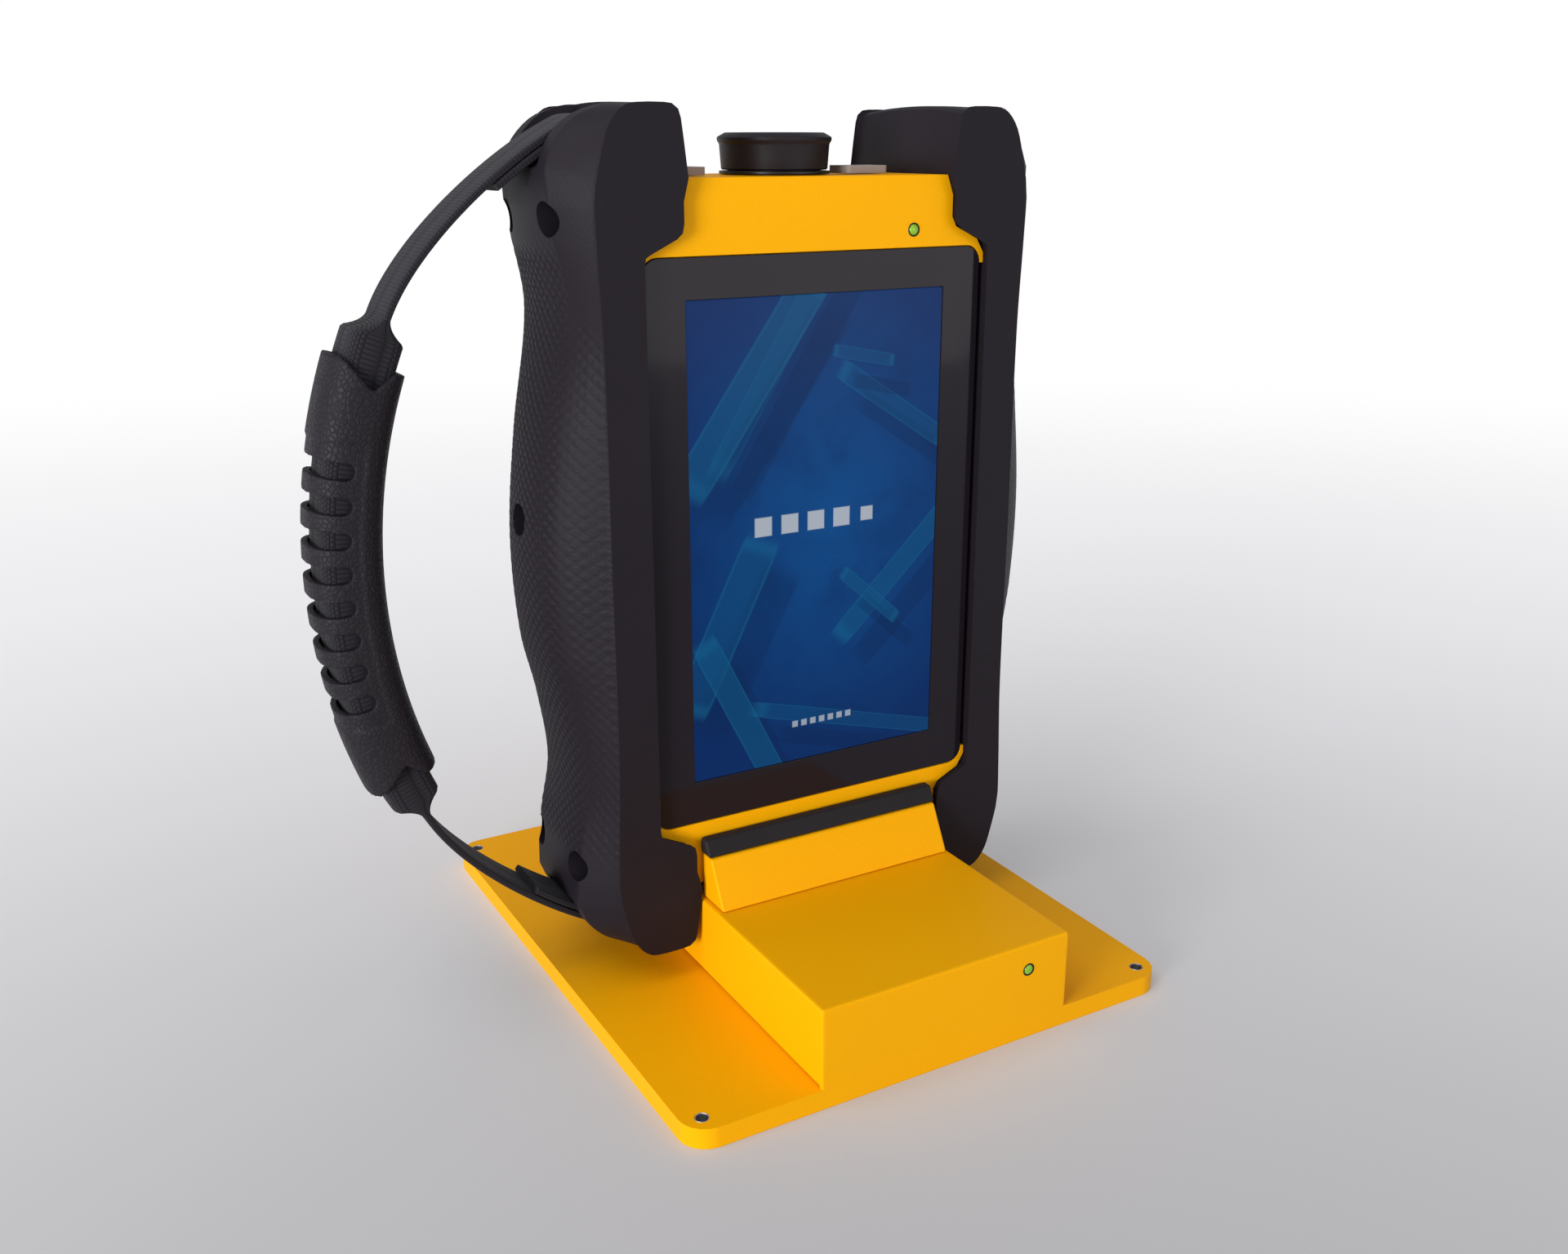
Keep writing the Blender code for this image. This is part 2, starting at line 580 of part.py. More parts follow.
def make_battery():
    width, height = battery_door_size()
    inner = BACK - HOUSING_WALL
    outline = rounded_rectangle(width, height, 4 * MM, (0, UNIT_MID_Z), 3)
    door = prism("battery_door", outline, "XZ", inner, BACK, PAINT)
    for index, side in enumerate((-1, 1)):
        x = side * (width / 2 - 7 * MM)
        start, end = (x, inner - MM, UNIT_MID_Z), (x, BACK + MM, UNIT_MID_Z)
        cut(door, rod(f"door_screw_hole_{index}", start, end, 3.2 * MM))
        profile = [
            (0, 0), (1.5 * MM, 0.5 * MM), (1.5 * MM, 5 * MM),
            (2.9 * MM, 5 * MM), (2.9 * MM, 7 * MM), (0, 7 * MM),
        ]
        foot = (x, BACK - 7.6 * MM, UNIT_MID_Z)
        screw = turned(f"battery_door_screw_{index + 1}", profile, foot, (0, 1, 0), STEEL, 16)
        slot_low = (x - 4 * MM, BACK - 1.6 * MM, UNIT_MID_Z - 0.5 * MM)
        cut(screw, block(f"door_slot_{index}", slot_low, (x + 4 * MM, BACK + MM, UNIT_MID_Z + 0.5 * MM)))
    low = (-width / 2 + 12 * MM, inner - GAP - 15 * MM, UNIT_MID_Z - height / 2 + 6 * MM)
    high = (width / 2 - 12 * MM, inner - GAP, UNIT_MID_Z + height / 2 - 6 * MM)
    block("battery_pack", low, high, BATTERY, 1.5 * MM)


def make_display():
    outline = rounded_rectangle(GLASS_WIDTH, GLASS_HEIGHT, GLASS_CORNER, (0, UNIT_MID_Z))
    prism("front_glass", outline, "XZ", FRONT, FRONT + GLASS_THICK, GLASS)
    width = SCREEN_WIDTH / 2 + PANEL_BORDER
    height = SCREEN_HEIGHT / 2 + PANEL_BORDER
    start = FRONT + GLASS_THICK + GAP
    low = (-width, start, SCREEN_MID_Z - height)
    high = (width, start + PANEL_THICK, SCREEN_MID_Z + height)
    block("display_panel", low, high, SCREEN)
    back = high[1] + GAP
    frame_low = (-width - 3 * MM, back, SCREEN_MID_Z - height - 3 * MM)
    frame_high = (width + 3 * MM, back + 1.5 * MM, SCREEN_MID_Z + height + 3 * MM)
    frame = block("display_bracket", frame_low, frame_high, STEEL)
    middle_low = (-width + 12 * MM, back - MM, SCREEN_MID_Z - height + 12 * MM)
    middle_high = (width - 12 * MM, back + 3 * MM, SCREEN_MID_Z + height - 12 * MM)
    cut(frame, block("bracket_window", middle_low, middle_high))


def board_face():
    """Y of the main board's front face, behind the display bracket."""
    return FRONT + GLASS_THICK + PANEL_THICK + 2 * GAP + 1.5 * MM + 3.5 * MM


def make_main_board():
    front = board_face()
    reach = UNIT_HEIGHT / 2 - HOUSING_WALL - 7 * MM
    low = (-42 * MM, front, UNIT_MID_Z - reach)
    board = block("main_board", low, (42 * MM, front + 1.6 * MM, UNIT_MID_Z + reach), BOARD)
    chips = [((-12, 60), 16), ((14, 52), 12), ((-26, 36), 9), ((20, -70), 14), ((-18, -74), 10)]
    for index, ((x, height), size) in enumerate(chips):
        corner = (x * MM, front + MM, UNIT_MID_Z + height * MM)
        far = ((x + size) * MM, front + 3 * MM, UNIT_MID_Z + (height + size) * MM)
        fuse(board, block(f"chip_{index}", corner, far))
    return board


def contact_plate_box():
    half = CONTACT_COUNT * CONTACT_PITCH / 2 + 2 * MM
    low = (-half, UNIT_MID_Y - 4 * MM, HOUSING_BOTTOM + 0.2 * MM)
    return low, (half, UNIT_MID_Y + 4 * MM, HOUSING_BOTTOM + 1.6 * MM)


def make_unit_details():
    low, high = contact_plate_box()
    block("unit_contact_plate", low, high, GOLD, 0.3 * MM)
    back = FRONT + GLASS_THICK + GAP + HOUSING_WALL
    depth = back - FRONT + 0.5 * MM
    turned(
        "unit_status_led",
        [(0, 0), (LED_RADIUS + 0.8 * MM, 0), (LED_RADIUS + 0.8 * MM, 1.3 * MM),
         (LED_RADIUS - GAP / 2, 1.3 * MM), (LED_RADIUS - GAP / 2, depth + MM),
         (0.6 * LED_RADIUS, depth + 1.6 * MM), (0, depth + 1.8 * MM)],
        (UNIT_LED_X, back + 1.6 * MM, HOUSING_TOP - UNIT_LED_DROP), (0, -1, 0), LED, 20,
    )


# ---------------------------------------------------------------- top fittings

def make_connector():
    """A round connector with its seal and ribbon, and a cap that pulls off upwards."""
    flange_foot = HOUSING_TOP + GAP
    flange_top = flange_foot + FLANGE_THICK
    inner = CONNECTOR_RADIUS - CONNECTOR_WALL
    rim = HOUSING_TOP + CONNECTOR_HEIGHT
    foot = HOUSING_TOP - 9 * MM
    turned(
        "data_connector_shell",
        [(inner, foot), (CONNECTOR_RADIUS, foot), (CONNECTOR_RADIUS, flange_foot),
         (FLANGE_RADIUS, flange_foot), (FLANGE_RADIUS, flange_top), (CONNECTOR_RADIUS, flange_top),
         (CONNECTOR_RADIUS, rim), (inner, rim)],
        (0, CONNECTOR_Y, 0), (0, 0, 1), ANODISED,
    )
    turned(
        "data_connector_insert",
        [(0, foot), (inner - GAP, foot), (inner - GAP, HOUSING_TOP + 2 * MM), (0, HOUSING_TOP + 2 * MM)],
        (0, CONNECTOR_Y, 0), (0, 0, 1), RUBBER, 24,
    )
    cap_foot = flange_top + GAP
    top = cap_foot + CAP_HEIGHT
    bore = CONNECTOR_RADIUS + GAP
    cap = turned(
        "connector_cap",
        [(bore, cap_foot), (CAP_WAIST, cap_foot), (CAP_WAIST, top - 4.6 * MM), (CAP_RADIUS, top - 2.9 * MM),
         (CAP_RADIUS, top - 1.3 * MM), (CAP_RADIUS - 2.5 * MM, top), (0, top), (0, top - CAP_TOP),
         (bore, top - CAP_TOP)],
        (0, CONNECTOR_Y, 0), (0, 0, 1), PLASTIC,
    )
    harness_low = foot - GAP - 26 * MM
    reach = board_face() + 1.6 * MM + GAP
    outline = [
        (CONNECTOR_Y - 5 * MM, foot - GAP), (CONNECTOR_Y - 2 * MM, foot - GAP),
        (CONNECTOR_Y - 3 * MM, foot - 12 * MM), (reach + 1.5 * MM, foot - 20 * MM),
        (reach + 1.5 * MM, harness_low),
        (reach, harness_low), (reach, foot - 21 * MM), (CONNECTOR_Y - 5.4 * MM, foot - 11 * MM),
    ]
    prism("connector_ribbon", outline, "YZ", -9 * MM, 9 * MM, RUBBER)
    joint_at("cap_pull", (0, CONNECTOR_Y, HOUSING_TOP), [cap])


def port_box(x):
    half = COVER_SIZE[0] / 2 - 2 * MM
    return (x - half, COVER_Y - 4 * MM, HOUSING_TOP - 9 * MM), (x + half, COVER_Y + 4 * MM, HOUSING_TOP)


def make_ports():
    """Two ports with their covers, each hinged along its upper rear edge."""
    for label, x in (("left", LEFT_COVER_X), ("right", RIGHT_COVER_X)):
        low, high = port_box(x)
        port = block(f"{label}_port", low, high, STEEL, 0.3 * MM)
        slot_low = (x - 4.2 * MM, COVER_Y - 1.3 * MM, HOUSING_TOP - 7 * MM)
        cut(port, block(f"{label}_port_slot", slot_low, (x + 4.2 * MM, COVER_Y + 1.3 * MM, HOUSING_TOP + MM)))
        width, depth, height = COVER_SIZE
        foot = HOUSING_TOP + GAP
        cover = block(
            f"{label}_port_cover", (x - width / 2, COVER_Y - depth / 2, foot),
            (x + width / 2, COVER_Y + depth / 2, foot + height), GREY_RUBBER, 0.5 * MM,
        )
        joint_at(f"{label}_cover_hinge", (x, COVER_Y + depth / 2, foot + height), [cover])


def make_power_button():
    top = HOUSING_TOP + BUTTON_RISE
    collar = BUTTON_RADIUS + 1.2 * MM
    under = HOUSING_TOP - HOUSING_WALL - GAP
    foot = under - 1.2 * MM
    button = turned(
        "power_button",
        [(0, foot), (collar, foot), (collar, under), (BUTTON_RADIUS, under), (BUTTON_RADIUS, top - 0.5 * MM),
         (BUTTON_RADIUS - 0.5 * MM, top), (0, top)],
        (BUTTON_X, BUTTON_Y, 0), (0, 0, 1), RUBBER, 24,
    )
    joint_at("button_press", (BUTTON_X, BUTTON_Y, top), [button])


# ---------------------------------------------------------------- grips

GRIP_HEIGHT = UNIT_HEIGHT / 2 + GRIP_RISE

LEVEL = UNIT_HEIGHT / 222.6     # the length of a millimetre along the grips, which stretch with the handheld
SIDE = UNIT_WIDTH / 2

# Side profiles of a grip as (height above the middle, x): along the ridge, and extra bulge at mid depth
RIDGE_KNOTS = [
    (height * LEVEL, SIDE + out * MM) for height, out in (
        (-111, 23.6), (-92, 21.2), (-74, 18.4), (-49, 21.2), (-28, 25.4),
        (4, 26.8), (38, 23.6), (74, 18.2), (95, 21.0), (110, 23.6),
    )
]
BULGE_KNOTS = [
    (height * LEVEL, bulge * MM)
    for height, bulge in ((-112, 0.8), (-75, 2.4), (12, 3.6), (80, 2.4), (112, 0.8))
]
OUTER_LEVELS = [height * LEVEL for height in (104, 92, 74, 56, 38, 21, 4, -21, -38, -56, -74, -92, -104)]
# The corner over the ridge as (x, drop below the grip's top), and the same corner on the front face
RIDGE_CORNER = [(SIDE + out * MM, drop * MM) for out, drop in ((5, 0.4), (13, 3.6), (19.5, 10), (23, 18))]
FACE_CORNER = [(SIDE + out * MM, drop * MM) for out, drop in ((3.3, 0.6), (7.4, 5.4), (10, 13.4), (11.7, 20.4))]


def grip_ring(depth_share, crown):
    """Points round a grip at one depth: 0 on the front and back faces, 1 on the ridges, 2 at mid depth."""
    blend = min(depth_share, 1)
    bulge = max(depth_share - 1, 0)
    inner = [(x, height) for x, height in housing_side(GAP + 0.1 * MM)]
    inner[0] = (NECK_TOP_WIDTH / 2 + GAP + 0.1 * MM, UNIT_HEIGHT / 2)
    top = GRIP_HEIGHT + crown
    corner = [
        (face[0] + (ridge[0] - face[0]) * blend, top - face[1] - (ridge[1] - face[1]) * blend)
        for face, ridge in zip(FACE_CORNER, RIDGE_CORNER)
    ]
    head = [(NECK_TOP_WIDTH / 2 + 1.8 * MM, top - 5 * MM), (NECK_TOP_WIDTH / 2 + 4 * MM, top)] + corner
    outer = []
    for height in OUTER_LEVELS:
        ridge = smooth(RIDGE_KNOTS, height) + bulge * smooth(BULGE_KNOTS, height)
        outer.append((FACE_EDGE + (ridge - FACE_EDGE) * blend, height))
    upper = list(reversed(inner)) + head
    lower = [(x, -height) for x, height in reversed(upper)]
    return upper + outer + lower


def make_grip(label, side):
    mid = UNIT_MID_Y
    half = UNIT_DEPTH / 2 + GRIP_FRONT
    ridge = half - RIDGE_INSET
    stations = [
        (-half, 0, 0), (-ridge, 1, 0.6 * GRIP_CROWN), (-ridge / 2, 1.75, 0.9 * GRIP_CROWN),
        (0, 2, GRIP_CROWN), (ridge / 2, 1.75, 0.9 * GRIP_CROWN), (ridge, 1, 0.6 * GRIP_CROWN), (half, 0, 0),
    ]
    rings = [
        [(side * x, mid + offset, UNIT_MID_Z + height) for x, height in grip_ring(share, crown)]
        for offset, share, crown in stations
    ]
    grip = loft(f"{label}_grip", rings, GRIP)
    cut(grip, *grip_pockets(label, side), *grip_saddles(label, side))
    for index, (tip, head) in enumerate(grip_screw_lines()):
        floor = head[0] - HEAD_HEIGHT - GAP
        start, wide = (side * floor, head[1], head[2]), (side * (SIDE + 39 * MM), head[1], head[2])
        inner = (side * (tip[0] - MM), head[1], head[2])
        cut(
            grip,
            rod(f"{label}_recess_{index}", start, wide, RECESS_RADIUS),
            rod(f"{label}_screw_hole_{index}", inner, wide, SHANK_RADIUS + SCREW_GAP, None, 12),
        )
    return grip


def grip_pockets(label, side):
    """Hollows on the housing side of a grip, above and below its middle screw."""
    pockets = []
    left, right = sorted((side * (SIDE - 6 * MM), side * (SIDE + 12 * MM)))
    for name, low, high in (("lower", -78 * LEVEL, -2 * MM), ("upper", 26 * MM, 78 * LEVEL)):
        far = (right, UNIT_MID_Y + 20 * MM, UNIT_MID_Z + high)
        pockets.append(block(f"{label}_{name}_pocket", (left, UNIT_MID_Y - 20 * MM, UNIT_MID_Z + low), far))
    return pockets


def grip_saddles(label, side):
    """Open slots for the strap at both ends of a grip, with sockets for the strap's bar."""
    tools = []
    for name, way in (("top", 1), ("bottom", -1)):
        outline = [(side * x, UNIT_MID_Z + way * height) for x, height in saddle_outline()]
        half = SADDLE_WIDTH / 2
        tools.append(prism(f"{label}_{name}_saddle", outline, "XZ", UNIT_MID_Y - half, UNIT_MID_Y + half))
        foot, flare = GRIP_HEIGHT - SADDLE_FLARE, half + SADDLE_FLARE
        mouth = [(-half, foot), (half, foot), (flare, GRIP_HEIGHT + 0.5 * MM), (flare, GRIP_HEIGHT + 9 * MM),
                 (-flare, GRIP_HEIGHT + 9 * MM), (-flare, GRIP_HEIGHT + 0.5 * MM)]
        outline = [(UNIT_MID_Y + y, UNIT_MID_Z + way * height) for y, height in mouth]
        inner, outer = sorted((side * SADDLE_INNER, side * SADDLE_OUTER))
        tools.append(prism(f"{label}_{name}_flare", outline, "YZ", inner, outer))
        start, end = bar_ends(side, way, GAP)
        tools.append(rod(f"{label}_{name}_socket", start, end, BAR_RADIUS + GAP, None, 16))
    return tools


def saddle_outline():
    """The saddle's side outline: its floor follows the loop round the bar and then falls with the strap."""
    top = GRIP_HEIGHT + 10 * MM
    floor = BAR_RISE - BAR_RADIUS - GAP - STRAP_THICK - 0.6 * MM
    fall = [
        (BAR_X - 4 * MM, 0), (BAR_X + 2 * MM, 0), (BAR_X + 8 * MM, 0.8 * MM), (BAR_X + 13 * MM, 2.6 * MM),
        (BAR_X + 18 * MM, 6 * MM), (BAR_X + 22 * MM, 10 * MM), (SADDLE_OUTER, 17 * MM),
    ]
    slope = [(x, floor - drop) for x, drop in fall]
    return [(SADDLE_INNER, top), (SADDLE_INNER, floor)] + slope + [(SADDLE_OUTER, top)]


def bar_ends(side, way, extra=0.0):
    reach = SADDLE_WIDTH / 2 + BAR_SOCKET + extra
    x, z = side * BAR_X, UNIT_MID_Z + way * BAR_RISE
    return (x, UNIT_MID_Y - reach, z), (x, UNIT_MID_Y + reach, z)


def make_strap_bars():
    for label, side in (("left", -1), ("right", 1)):
        for name, way in (("top", 1), ("bottom", -1)):
            rod(f"{label}_{name}_strap_bar", *bar_ends(side, way), BAR_RADIUS, STEEL, 16)


def grip_screw_lines():
    """Tip and head of each grip screw on the +X side: four near the ends and one in the middle."""
    lines = []
    for way in (1, -1):
        for depth in (-SCREW_Y, SCREW_Y):
            y, z = UNIT_MID_Y + depth, UNIT_MID_Z + way * SCREW_Z
            tip = NECK_WIDTH / 2 - HOUSING_WALL - 1.4 * MM
            lines.append(((tip, y, z), (END_RECESS_FLOOR + HEAD_HEIGHT, y, z)))
    z = UNIT_MID_Z + MIDDLE_SCREW_Z
    tip = UNIT_WIDTH / 2 - HOUSING_WALL - MM
    lines.append(((tip, UNIT_MID_Y, z), (MIDDLE_RECESS_FLOOR + HEAD_HEIGHT, UNIT_MID_Y, z)))
    return lines


def make_grip_screws():
    for label, side in (("left", -1), ("right", 1)):
        for index, (tip, head) in enumerate(grip_screw_lines()):
            start, end = (side * tip[0], tip[1], tip[2]), (side * head[0], head[1], head[2])
            socket_screw(f"{label}_grip_screw_{index + 1}", start, end, STEEL)


# ---------------------------------------------------------------- strap and handle

def handle_point(angle, out, along=0.0):
    """A point of the handle's bend in X and height: out from its centreline, along its tangent."""
    reach = HANDLE_RADIUS + out
    x = HANDLE_RADIUS - HANDLE_OUT - reach * math.cos(angle) + along * math.sin(angle)
    return x, reach * math.sin(angle) + along * math.cos(angle)


def strap_line():
    """The upper strap's centreline from its bar to the handle, as (point, outward normal) pairs."""
    end = Vector(handle_point(CORE_SPAN, 0, NECK_LENGTH + SWING_GAP))
    end_way = Vector((-math.sin(CORE_SPAN), -math.cos(CORE_SPAN)))
    start_way = Vector((-math.cos(math.radians(24)), -math.sin(math.radians(24))))
    start_side = Vector((start_way.y, -start_way.x))
    start = Vector((-BAR_X, BAR_RISE)) + start_side * (BAR_RADIUS + GAP + STRAP_THICK / 2)
    handles = (start, start + start_way * STRAP_REACH, end - end_way * STRAP_REACH, end)
    line = []
    steps = 14
    for index in range(steps + 1):
        t = index / steps
        weights = ((1 - t) ** 3, 3 * t * (1 - t) ** 2, 3 * t * t * (1 - t), t ** 3)
        point = sum((w * p for w, p in zip(weights, handles)), Vector((0, 0)))
        slopes = (-3 * (1 - t) ** 2, 3 * (1 - t) * (1 - 3 * t), 3 * t * (2 - 3 * t), 3 * t * t)
        way = sum((w * p for w, p in zip(slopes, handles)), Vector((0, 0))).normalized()
        line.append((point, Vector((way.y, -way.x))))
    return line


def make_straps():
    """Each strap is one layer of webbing that loops round its bar and is sewn back on itself."""
    line = strap_line()
    half = STRAP_THICK / 2
    tail_end = 6
    outer = [point + side * half for point, side in line]
    single = [point - side * half for point, side in line[tail_end:]]
    double = [point - side * 3 * half for point, side in line[2:tail_end + 1]]
    loop_radius = BAR_RADIUS + GAP + STRAP_THICK
    bar = (-BAR_X, BAR_RISE)
    loop = [Vector(point) for point in round_corner(bar, loop_radius, -110, 100, 7)]
    profile = loop + outer + list(reversed(single)) + list(reversed(double))
    for name, way in (("upper_strap", 1), ("lower_strap", -1)):
        outline = [(point.x, UNIT_MID_Z + way * point.y) for point in profile]
        low, high = UNIT_MID_Y - STRAP_WIDTH / 2, UNIT_MID_Y + STRAP_WIDTH / 2
        strap = prism(name, outline, "XZ", low, high, WEBBING)
        z = UNIT_MID_Z + way * BAR_RISE
        start, end = (-BAR_X, low - MM, z), (-BAR_X, high + MM, z)
        cut(strap, rod(f"{name}_eye", start, end, BAR_RADIUS + GAP, None, 16))


def oval_ring(angle, half_out, half_deep, along=0.0, steps=20):
    ring = []
    for index in range(steps):
        turn = 2 * math.pi * index / steps
        x, height = handle_point(angle, half_out * math.cos(turn), along)
        ring.append((x, UNIT_MID_Y + half_deep * math.sin(turn), UNIT_MID_Z + height))
    return ring


def make_handle():
    """A rubber sleeve with relief slots over a core that the webbing is folded into."""
    outer, deep = SLEEVE_HALF
    bends = [SLEEVE_SPAN * (index / 9 - 1) for index in range(19)]
    sleeve = loft("handle_sleeve", [oval_ring(angle, outer, deep) for angle in bends], SLEEVE)
    past = [SLEEVE_SPAN * 1.03 * (index / 9 - 1) for index in range(19)]
    bore_out, bore_deep = outer - SLEEVE_WALL, deep - SLEEVE_WALL
    cut(sleeve, loft("sleeve_bore", [oval_ring(angle, bore_out, bore_deep) for angle in past]))
    for index in range(SLOT_COUNT):
        angle = (index - (SLOT_COUNT - 1) / 2) * SLOT_PITCH / HANDLE_RADIUS
        half = SLOT_HEIGHT / 2
        start = SLEEVE_HALF[0] - SLOT_DEPTH + half
        nose = [(start + half * math.cos(math.radians(turn)), half * math.sin(math.radians(turn)))
                for turn in (90, 126, 162, 198, 234, 270)]
        corners = nose + [(outer + 4 * MM, -half), (outer + 4 * MM, half)]
        outline = [handle_point(angle, out, along) for out, along in corners]
        outline = [(x, UNIT_MID_Z + height) for x, height in outline]
        cut(sleeve, prism(f"relief_slot_{index}", outline, "XZ", UNIT_MID_Y - 20 * MM, UNIT_MID_Y + 20 * MM))
    core_out, core_deep = bore_out - SLEEVE_GAP, bore_deep - SLEEVE_GAP
    flare = [(NECK_LENGTH * share, width) for share, width in ((1, 0.15), (0.62, 0.24), (0.3, 0.5), (0.1, 0.8))]
    top = [oval_ring(CORE_SPAN, core_out * share, core_deep, along) for along, share in flare]
    bottom = [oval_ring(-CORE_SPAN, core_out * share, core_deep, -along) for along, share in reversed(flare)]
    bends = [CORE_SPAN * (1 - index / 8) for index in range(17)]
    middle = [oval_ring(angle, core_out, core_deep) for angle in bends]
    core = loft("handle_core", top + middle + bottom, WEBBING)
    joint_at("strap_swing", (-BAR_X, UNIT_MID_Y, UNIT_MID_Z), [sleeve, core])


# ---------------------------------------------------------------- build

for item in list(bpy.data.objects):
    bpy.data.objects.remove(item, do_unlink=True)

PAINT = material("yellow_paint", (0.95, 0.45, 0.01), 0.45)
RUBBER = material("black_rubber", (0.03, 0.028, 0.032), 0.7)
PLASTIC = material("black_plastic", (0.028, 0.026, 0.03), 0.5)
GRIP = material("grip_polymer", (0.034, 0.03, 0.036), 0.6)
GREY_RUBBER = material("grey_rubber", (0.4, 0.35, 0.32), 0.6)
GLASS = material("black_glass", (0.02, 0.018, 0.022), 0.08)
SCREEN = material("lit_screen", (0.01, 0.12, 0.42), 0.2)
STEEL = material("steel", (0.5, 0.5, 0.52), 0.35, 1.0)
GOLD = material("contact_gold", (0.9, 0.65, 0.25), 0.3, 1.0)
ANODISED = material("black_anodised", (0.05, 0.05, 0.055), 0.4, 0.6)
BOARD = material("circuit_board", (0.02, 0.16, 0.07), 0.5)
BATTERY = material("battery_wrap", (0.08, 0.09, 0.1), 0.5)
LED = material("green_led", (0.2, 0.75, 0.1), 0.15)
WEBBING = material("webbing", (0.03, 0.028, 0.034), 0.9)
SLEEVE = material("sleeve_rubber", (0.03, 0.028, 0.031), 0.65)

make_base_plate()
make_dock_housing()
make_rests()
make_seat_pads()
make_contacts()
make_dock_board()
make_dock_led()
make_power_inlet()
make_dock_screws()
dock_pieces = set(bpy.data.objects)

make_main_housing()
make_rear_cover()
make_gasket()
make_battery()
make_display()
make_main_board()
make_unit_details()
make_connector()
make_ports()
make_power_button()
make_grip("left", -1)
make_grip("right", 1)
make_strap_bars()
make_grip_screws()
make_straps()
make_handle()

bpy.context.view_layer.update()
handheld = [item for item in bpy.data.objects if item not in dock_pieces and not item.parent]
joint_at("handheld_lift", (0, UNIT_MID_Y, HOUSING_BOTTOM), handheld)
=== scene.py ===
import math

import bpy
import numpy as np
from mathutils import Matrix, Vector


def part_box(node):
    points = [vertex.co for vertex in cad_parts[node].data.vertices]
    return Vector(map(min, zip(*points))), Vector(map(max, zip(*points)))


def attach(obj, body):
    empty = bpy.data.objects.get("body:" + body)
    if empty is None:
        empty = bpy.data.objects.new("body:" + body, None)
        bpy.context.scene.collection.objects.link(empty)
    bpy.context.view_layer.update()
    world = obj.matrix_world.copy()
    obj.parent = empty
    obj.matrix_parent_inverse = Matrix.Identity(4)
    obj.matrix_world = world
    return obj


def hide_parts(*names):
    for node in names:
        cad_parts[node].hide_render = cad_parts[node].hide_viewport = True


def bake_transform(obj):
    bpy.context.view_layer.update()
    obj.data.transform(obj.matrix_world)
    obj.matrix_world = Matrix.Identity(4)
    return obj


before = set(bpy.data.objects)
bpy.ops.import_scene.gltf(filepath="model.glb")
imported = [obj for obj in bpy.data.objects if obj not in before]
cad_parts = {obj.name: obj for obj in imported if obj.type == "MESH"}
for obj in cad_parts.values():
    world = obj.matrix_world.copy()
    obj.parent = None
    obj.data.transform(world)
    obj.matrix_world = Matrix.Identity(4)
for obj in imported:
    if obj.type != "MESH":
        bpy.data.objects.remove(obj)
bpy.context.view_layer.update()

MM = 0.001

# Levels read from the frame
PLATE_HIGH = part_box("dock_base_plate")[1]
DOCK_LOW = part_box("dock_housing")[0]
CASE_LOW, CASE_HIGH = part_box("main_housing")
GLASS_LOW, GLASS_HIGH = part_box("front_glass")
PANEL_LOW, PANEL_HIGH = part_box("display_panel")
GRIP_LOW, GRIP_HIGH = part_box("left_grip")
CAP_LOW, CAP_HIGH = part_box("connector_cap")
BAR_LOW, BAR_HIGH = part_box("left_top_strap_bar")
MID_Y = (GRIP_LOW.y + GRIP_HIGH.y) / 2
MID_Z = (GRIP_LOW.z + GRIP_HIGH.z) / 2
CASE_TOP = CASE_HIGH.z - MID_Z
CASE_CREASE = CASE_TOP - 6.1 * MM
GRIP_HALF = (GRIP_HIGH.y - GRIP_LOW.y) / 2
GRIP_TOP = (GRIP_HIGH.z - GRIP_LOW.z) / 2

# Dock, lamps and display
HOLE_INSET = 6.4 * MM
HOLE_RADIUS = 2.25 * MM
LAMP_RADIUS = 1.72 * MM
LAMP_DOME = 0.9 * MM
DISPLAY_WIDTH = 91.44 * MM
DISPLAY_HEIGHT = 152.4 * MM
DISPLAY_PLAY = 0.34 * MM
SCREEN_Z = (PANEL_LOW.z + PANEL_HIGH.z) / 2

# Grips, as lengths from the handheld's middle
FACE_KNOTS = [
    (0, 72.0 * MM), (62 * MM, 71.9 * MM), (93 * MM, 73.0 * MM), (106 * MM, 73.3 * MM), (112 * MM, 72.7 * MM),
]
RIDGE_KNOTS = [
    (-111 * MM, 84.6 * MM), (-92 * MM, 82.2 * MM), (-74 * MM, 79.4 * MM), (-49 * MM, 82.2 * MM),
    (-28 * MM, 86.4 * MM), (4 * MM, 87.8 * MM), (38 * MM, 84.6 * MM), (74 * MM, 79.2 * MM),
    (95 * MM, 82.0 * MM), (110 * MM, 84.6 * MM),
]
BULGE_KNOTS = [
    (-112 * MM, 0.8 * MM), (-75 * MM, 2.4 * MM), (12 * MM, 3.6 * MM), (80 * MM, 2.4 * MM), (112 * MM, 0.8 * MM),
]
RIDGE_CORNER = [
    (53 * MM, 0), (60 * MM, 0), (66 * MM, 0.5 * MM), (74 * MM, 3.6 * MM), (80.5 * MM, 10 * MM),
    (84 * MM, 18 * MM),
]
FACE_CORNER = [
    (53 * MM, 0), (59 * MM, 0), (64.3 * MM, 0.8 * MM), (68.4 * MM, 5.4 * MM), (71 * MM, 13.4 * MM),
    (72.7 * MM, 20.4 * MM),
]
CORNER_STEPS = 18
RIDGE_Y = 17.7 * MM
GRIP_GAP = 0.4 * MM
GRIP_NECK = 48.4 * MM
GRIP_RISE = 18.8 * MM
GRIP_CROWN = 1.9 * MM
FLANK_TOP = 104 * MM
FLANK_STEPS = 470
GRIP_STATIONS = 118
KNURL_TOP = 96 * MM
